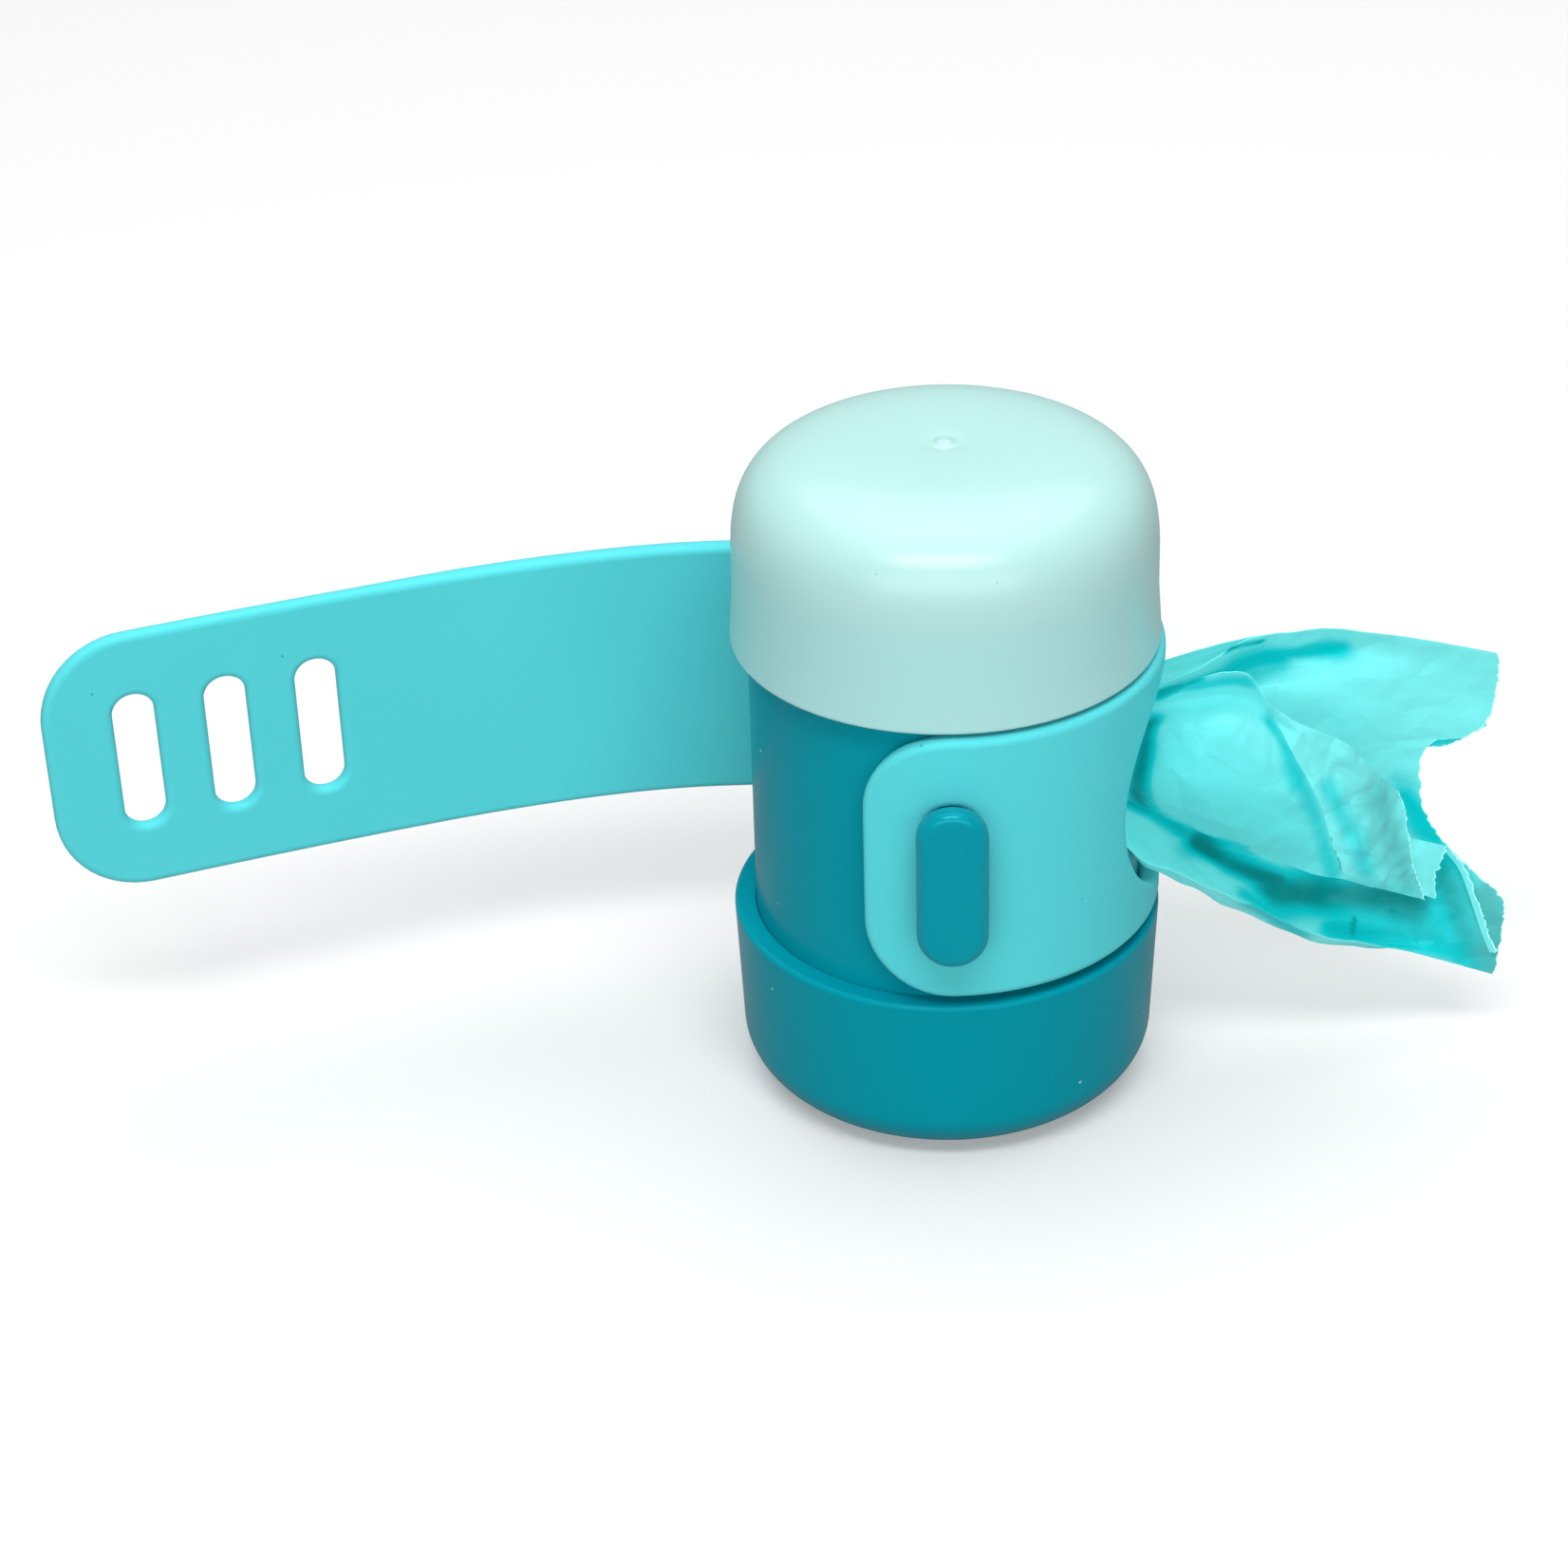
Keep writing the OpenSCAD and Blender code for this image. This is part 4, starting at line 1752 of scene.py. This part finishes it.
# The flap's second panel, beyond its fold.
PANEL = Leaf(
    rows=[
        [(31.7, -8, 46.6), (35.2, -7, 43.5), (40.4, -6.5, 40.5),
         (43.7, -6, 36.8), (46.4, -5.5, 33.9)],
        [(33.2, -7, 43.6), (37.1, -7.5, 40.9), (41.7, -7, 37.7),
         (44.8, -6, 34.7), (47.2, -5.5, 32)],
        [(34.8, -8.5, 40.6), (38.2, -8, 37.8), (42, -7.5, 34.5),
         (45.2, -6.5, 32.1), (47.5, -6, 29.7)],
        [(37.6, -9.5, 35.3), (40.2, -9, 33.5), (43.1, -8, 31.4),
         (45.9, -7, 28.9), (48.1, -6.5, 26.6)],
        [(39.2, -10, 30.2), (41.3, -9.5, 28.9), (44, -8.5, 27.3),
         (46.4, -7.5, 25.7), (48.9, -7, 23.8)],
        [(40.9, -9.5, 25.8), (43.1, -9, 24.7), (45.4, -8.5, 23.7),
         (47.5, -8, 22.7), (49.7, -7.5, 21.7)],
    ],
    across=40, down=60, pleat=0.0, crumple=0.3, crumple_size=3.5, ragged=0.16, creased=1.0,
    shades=[
        Shade((38.5, -8.5, 36.5), (43, -9, 26.5), 1.5, 0.35),
        Shade((41, -9.5, 25.5), (48.5, -8, 22.5), 1.2, 0.25),
    ],
    hazes_and_shades=[
        Shade((44.6, -7, 34), (47.8, -7.5, 24), 2.0, 0.8),
        Shade((38, -8, 41), (44, -7, 36), 3.0, 0.2),
        Shade((42, -9, 25), (48.5, -8, 22.5), 1.4, 0.5),
    ],
    seed=4.0,
)

# The small scrap beside the panel.
SCRAP = Leaf(
    rows=[
        [(46.8, -3.5, 27.3), (49.8, -3.5, 26.5), (52.5, -3, 25.4)],
        [(47.4, -4, 25.5), (49.8, -4, 24.8), (51.9, -3.5, 23.8)],
        [(48.1, -4.5, 23.2), (49.9, -4.5, 22.9), (51.2, -4, 22.2)],
        [(49.1, -5, 21.1), (50.2, -5, 20.6), (51.2, -4.5, 19.9)],
    ],
    across=16, down=20, pleat=0.0, crumple=0.1, ragged=0.25, seed=5.0,
)

# The perforated edge that folds back.
PERFORATION = Leaf(
    rows=[
        [(52.8, 0.5, 22.9), (53.5, 0.2, 22.9)],
        [(54.6, -0.1, 20.5), (55.3, -0.4, 20.6)],
        [(56.0, -1.0, 16.8), (56.7, -1.3, 16.9)],
        [(57.0, -1.6, 13.9), (57.7, -1.9, 14.0)],
        [(58.1, -2.0, 11.2), (58.8, -2.3, 11.3)],
    ],
    across=4, down=44, pleat=0.0, crumple=0.1, ragged=0.16, seed=6.0,
)

# The lip over the thumb notch.
SCALLOP_LIP = Leaf(
    rows=[
        [(50.8, 2.6, 35.0), (50.3, 2.6, 34.3)],
        [(52.5, 2.6, 35.9), (52.5, 2.6, 34.4)],
        [(54.5, 2.8, 36.0), (54.4, 2.8, 35.0)],
        [(56.7, 3.0, 37.0), (56.9, 3.0, 36.4)],
    ],
    across=6, down=30, pleat=0.0, crumple=0.1, ragged=0.12,
    shades=[Shade((50.5, 2.6, 35), (56, 3, 36.5), 2.0, 0.45)],
    seed=7.0,
)

# The lead round the roll, inside the tube.
LEAD = Leaf(
    rows=[
        [(12.6, -12.3, z), (16.0, -7.3, z), (17.5, -1.5, z), (17.1, 4.2, z)]
        for z in (46.0, 43.0, 38.0, 33.0, 28.6)
    ],
    across=40, down=36, pleat=0.12, crumple=0.12, crumple_size=5.0, seed=8.0,
)


@dataclass
class DrawnBag:
    """The leading bag, drawn out of the outlet, crumpled and torn off along its perforation."""

    leaves: Sequence[Leaf] = (
        BACK_SHEET, BACK_STRIP, FLAP, PANEL, SCRAP, PERFORATION, SCALLOP_LIP, LEAD,
    )
    thickness: float = 0.08
    weld: float = 0.02
    width: float = 60.0
    gathers: float = 1.1
    pull_start: float = 18.5
    pull_end: float = 23.5
    pull_z: float = 36.3
    whitened: Point2 = (0.3, 1.0)

    def leaf_piece(self, index: int, leaf: Leaf) -> Piece:
        """Models one layer: a flat grid whose vertices are moved onto the layer's surface.

        Args:
            index: The layer's number, for its name.
            leaf: The layer.

        Returns:
            The layer's piece, not yet given its thickness.
        """
        Piece.clear_selection()
        bpy.ops.mesh.primitive_grid_add(
            x_subdivisions=leaf.across, y_subdivisions=leaf.down, size=1
        )
        piece = Piece.added(f"film_{index}")
        grid = leaf.surface()
        mesh = piece.obj.data
        names = ("torn", "layers", "creased", "haze_and_shade")
        for name in names:
            mesh.attributes.new(name, "FLOAT", "POINT")
        torn, layers, creased, haze_and_shade = [mesh.attributes[name].data for name in names]
        draw = random.Random(index)
        for vert in mesh.vertices:
            i = round((vert.co.x + 0.5) * leaf.across)
            j = leaf.down - round((vert.co.y + 0.5) * leaf.down)
            vert.co = grid[j, i]
            if leaf.ragged and i == leaf.across:
                torn[vert.index].value = draw.uniform(*self.whitened)
            # Each point takes the strokes' painted shade, partly for film lying double, and their
            # greyer tone with painted shade.
            layers[vert.index].value = self.covered(leaf.shades, grid[j, i])
            haze_and_shade[vert.index].value = self.covered(leaf.hazes_and_shades, grid[j, i])
            creased[vert.index].value = leaf.creased
        return piece

    @staticmethod
    def covered(strokes: Sequence[Shade], place: np.ndarray) -> float:
        """Gives the share of the stroke that covers a place most."""
        return max((stroke.at(place) for stroke in strokes), default=0.0)

    def build(self, finishes: Finishes) -> None:
        """Models, joins and dresses the drawn-out bag.

        Args:
            finishes: The object's materials.
        """
        pieces = [self.leaf_piece(i, leaf) for i, leaf in enumerate(self.leaves)]
        Piece.clear_selection()
        for piece in pieces:
            piece.obj.select_set(True)
        bag = pieces[0]
        bpy.context.view_layer.objects.active = bag.obj
        bpy.ops.object.join()
        bag.obj.name = "drawn_bag"
        with bag.editing():
            bag.select_whole()
            bpy.ops.mesh.remove_doubles(threshold=self.weld)
        solid = bag.obj.modifiers.new("thickness", "SOLIDIFY")
        solid.thickness = self.thickness
        solid.offset = 0
        bag.apply(solid)
        made = bag.finish(finishes.film, Slot.FILM, ["bag_tail", "bag_lead"], 50)
        start, end = [(x * MM, 0, self.pull_z * MM) for x in (self.pull_start, self.pull_end)]
        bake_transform(made)
        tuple(start)
        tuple(end)


# --- Studio ---


@dataclass(frozen=True)
class Softbox:
    """A rectangular light: its place, what it points at, its width and height, and its watts."""

    name: str
    at: Point3
    target: Point3
    size: Point2
    power: float

    def place(self) -> None:
        """Makes the light and turns it to its target."""
        data = bpy.data.lights.new(self.name, "AREA")
        data.shape = "RECTANGLE"
        data.size = self.size[0] * MM
        data.size_y = self.size[1] * MM
        data.energy = self.power
        light = bpy.data.objects.new(self.name, data)
        bpy.context.scene.collection.objects.link(light)
        light.location = Vector(self.at) * MM
        aim = Vector(self.target) - Vector(self.at)
        light.rotation_euler = aim.to_track_quat("-Z", "Y").to_euler()


@dataclass
class Studio:
    """The pale floor, the soft lights and the camera of the photograph."""

    camera_at: Point3 = (-16.9, -328.3, 231.2)
    camera_dip: float = 31.02
    camera_roll: float = -1.8
    lens: float = 84.2
    sensor: float = 36.0
    clip_start: float = 10.0
    floor_half: float = 3000.0
    floor: PaleFloor = PaleFloor("pale_floor", (0.64, 0.64, 0.64), 0.6)
    world_front: Colour = (0.45, 0.45, 0.45)
    world_back: Colour = (1.0, 1.0, 1.0)
    world_turn: Point2 = (-0.8, 0.3)
    world_strength: float = 0.36
    softboxes: tuple[Softbox, ...] = (
        Softbox("top_softbox", (40, 300, 900), (0, 0, 30), (1100, 900), 5.8),
        Softbox("front_softbox", (-30, -370, 700), (0, 0, 45), (580, 170), 3.4),
        Softbox("fill_softbox", (-20, -760, 330), (0, 0, 30), (1300, 400), 4.0),
    )

    def build(self) -> None:
        """Places the camera, the floor, the lights and the surrounding light."""
        self.add_camera()
        self.add_floor()
        for softbox in self.softboxes:
            softbox.place()
        self.add_world()

    def add_camera(self) -> None:
        """Makes the camera, level with the photograph's."""
        data = bpy.data.cameras.new("camera")
        data.lens = self.lens
        data.sensor_width = self.sensor
        data.clip_start = self.clip_start * MM
        camera = bpy.data.objects.new("camera", data)
        bpy.context.scene.collection.objects.link(camera)
        dip = Matrix.Rotation(math.radians(90 - self.camera_dip), 4, "X")
        roll = Matrix.Rotation(math.radians(self.camera_roll), 4, "Z")
        camera.matrix_world = Matrix.Translation(Vector(self.camera_at) * MM) @ (dip @ roll)
        bpy.context.scene.camera = camera

    def add_floor(self) -> None:
        """Makes the floor, a wide plain pale sheet."""
        Piece.clear_selection()
        bpy.ops.mesh.primitive_plane_add(size=2 * self.floor_half * MM, location=(0, 0, 0))
        sheet = bpy.context.object
        sheet.name = "floor"
        sheet.data.materials.append(self.floor.material())

    def add_world(self) -> None:
        """Makes the even surrounding light, white behind the object and dimmer in front."""
        world = bpy.data.worlds.new("studio")
        bpy.context.scene.world = world
        world.use_nodes = True
        board = Board(world.node_tree)
        background = world.node_tree.nodes["Background"]
        place = board.add("TexCoord").outputs["Generated"]
        depth = board.add("SeparateXYZ", {0: place}).outputs["Y"]
        share = board.between(depth, *self.world_turn)
        tone = board.blend(share, self.world_front, self.world_back)
        board.link(tone, background.inputs["Color"])
        background.inputs["Strength"].default_value = self.world_strength
        bpy.context.scene.view_settings.view_transform = "Standard"


def main() -> None:
    """Builds the studio and every sub-assembly in order."""
    logging.basicConfig(level=logging.INFO, format="%(message)s")
    Studio().build()
    finishes = Finishes()
    stud = Stud()
    Cup().build(finishes)
    Tube().build(finishes, stud)
    Cap().build(finishes)
    stud.build(finishes)
    Strap().build(finishes, stud)
    BagRoll().build(finishes)
    DrawnBag().build(finishes)


if __name__ == "__main__":
    main()
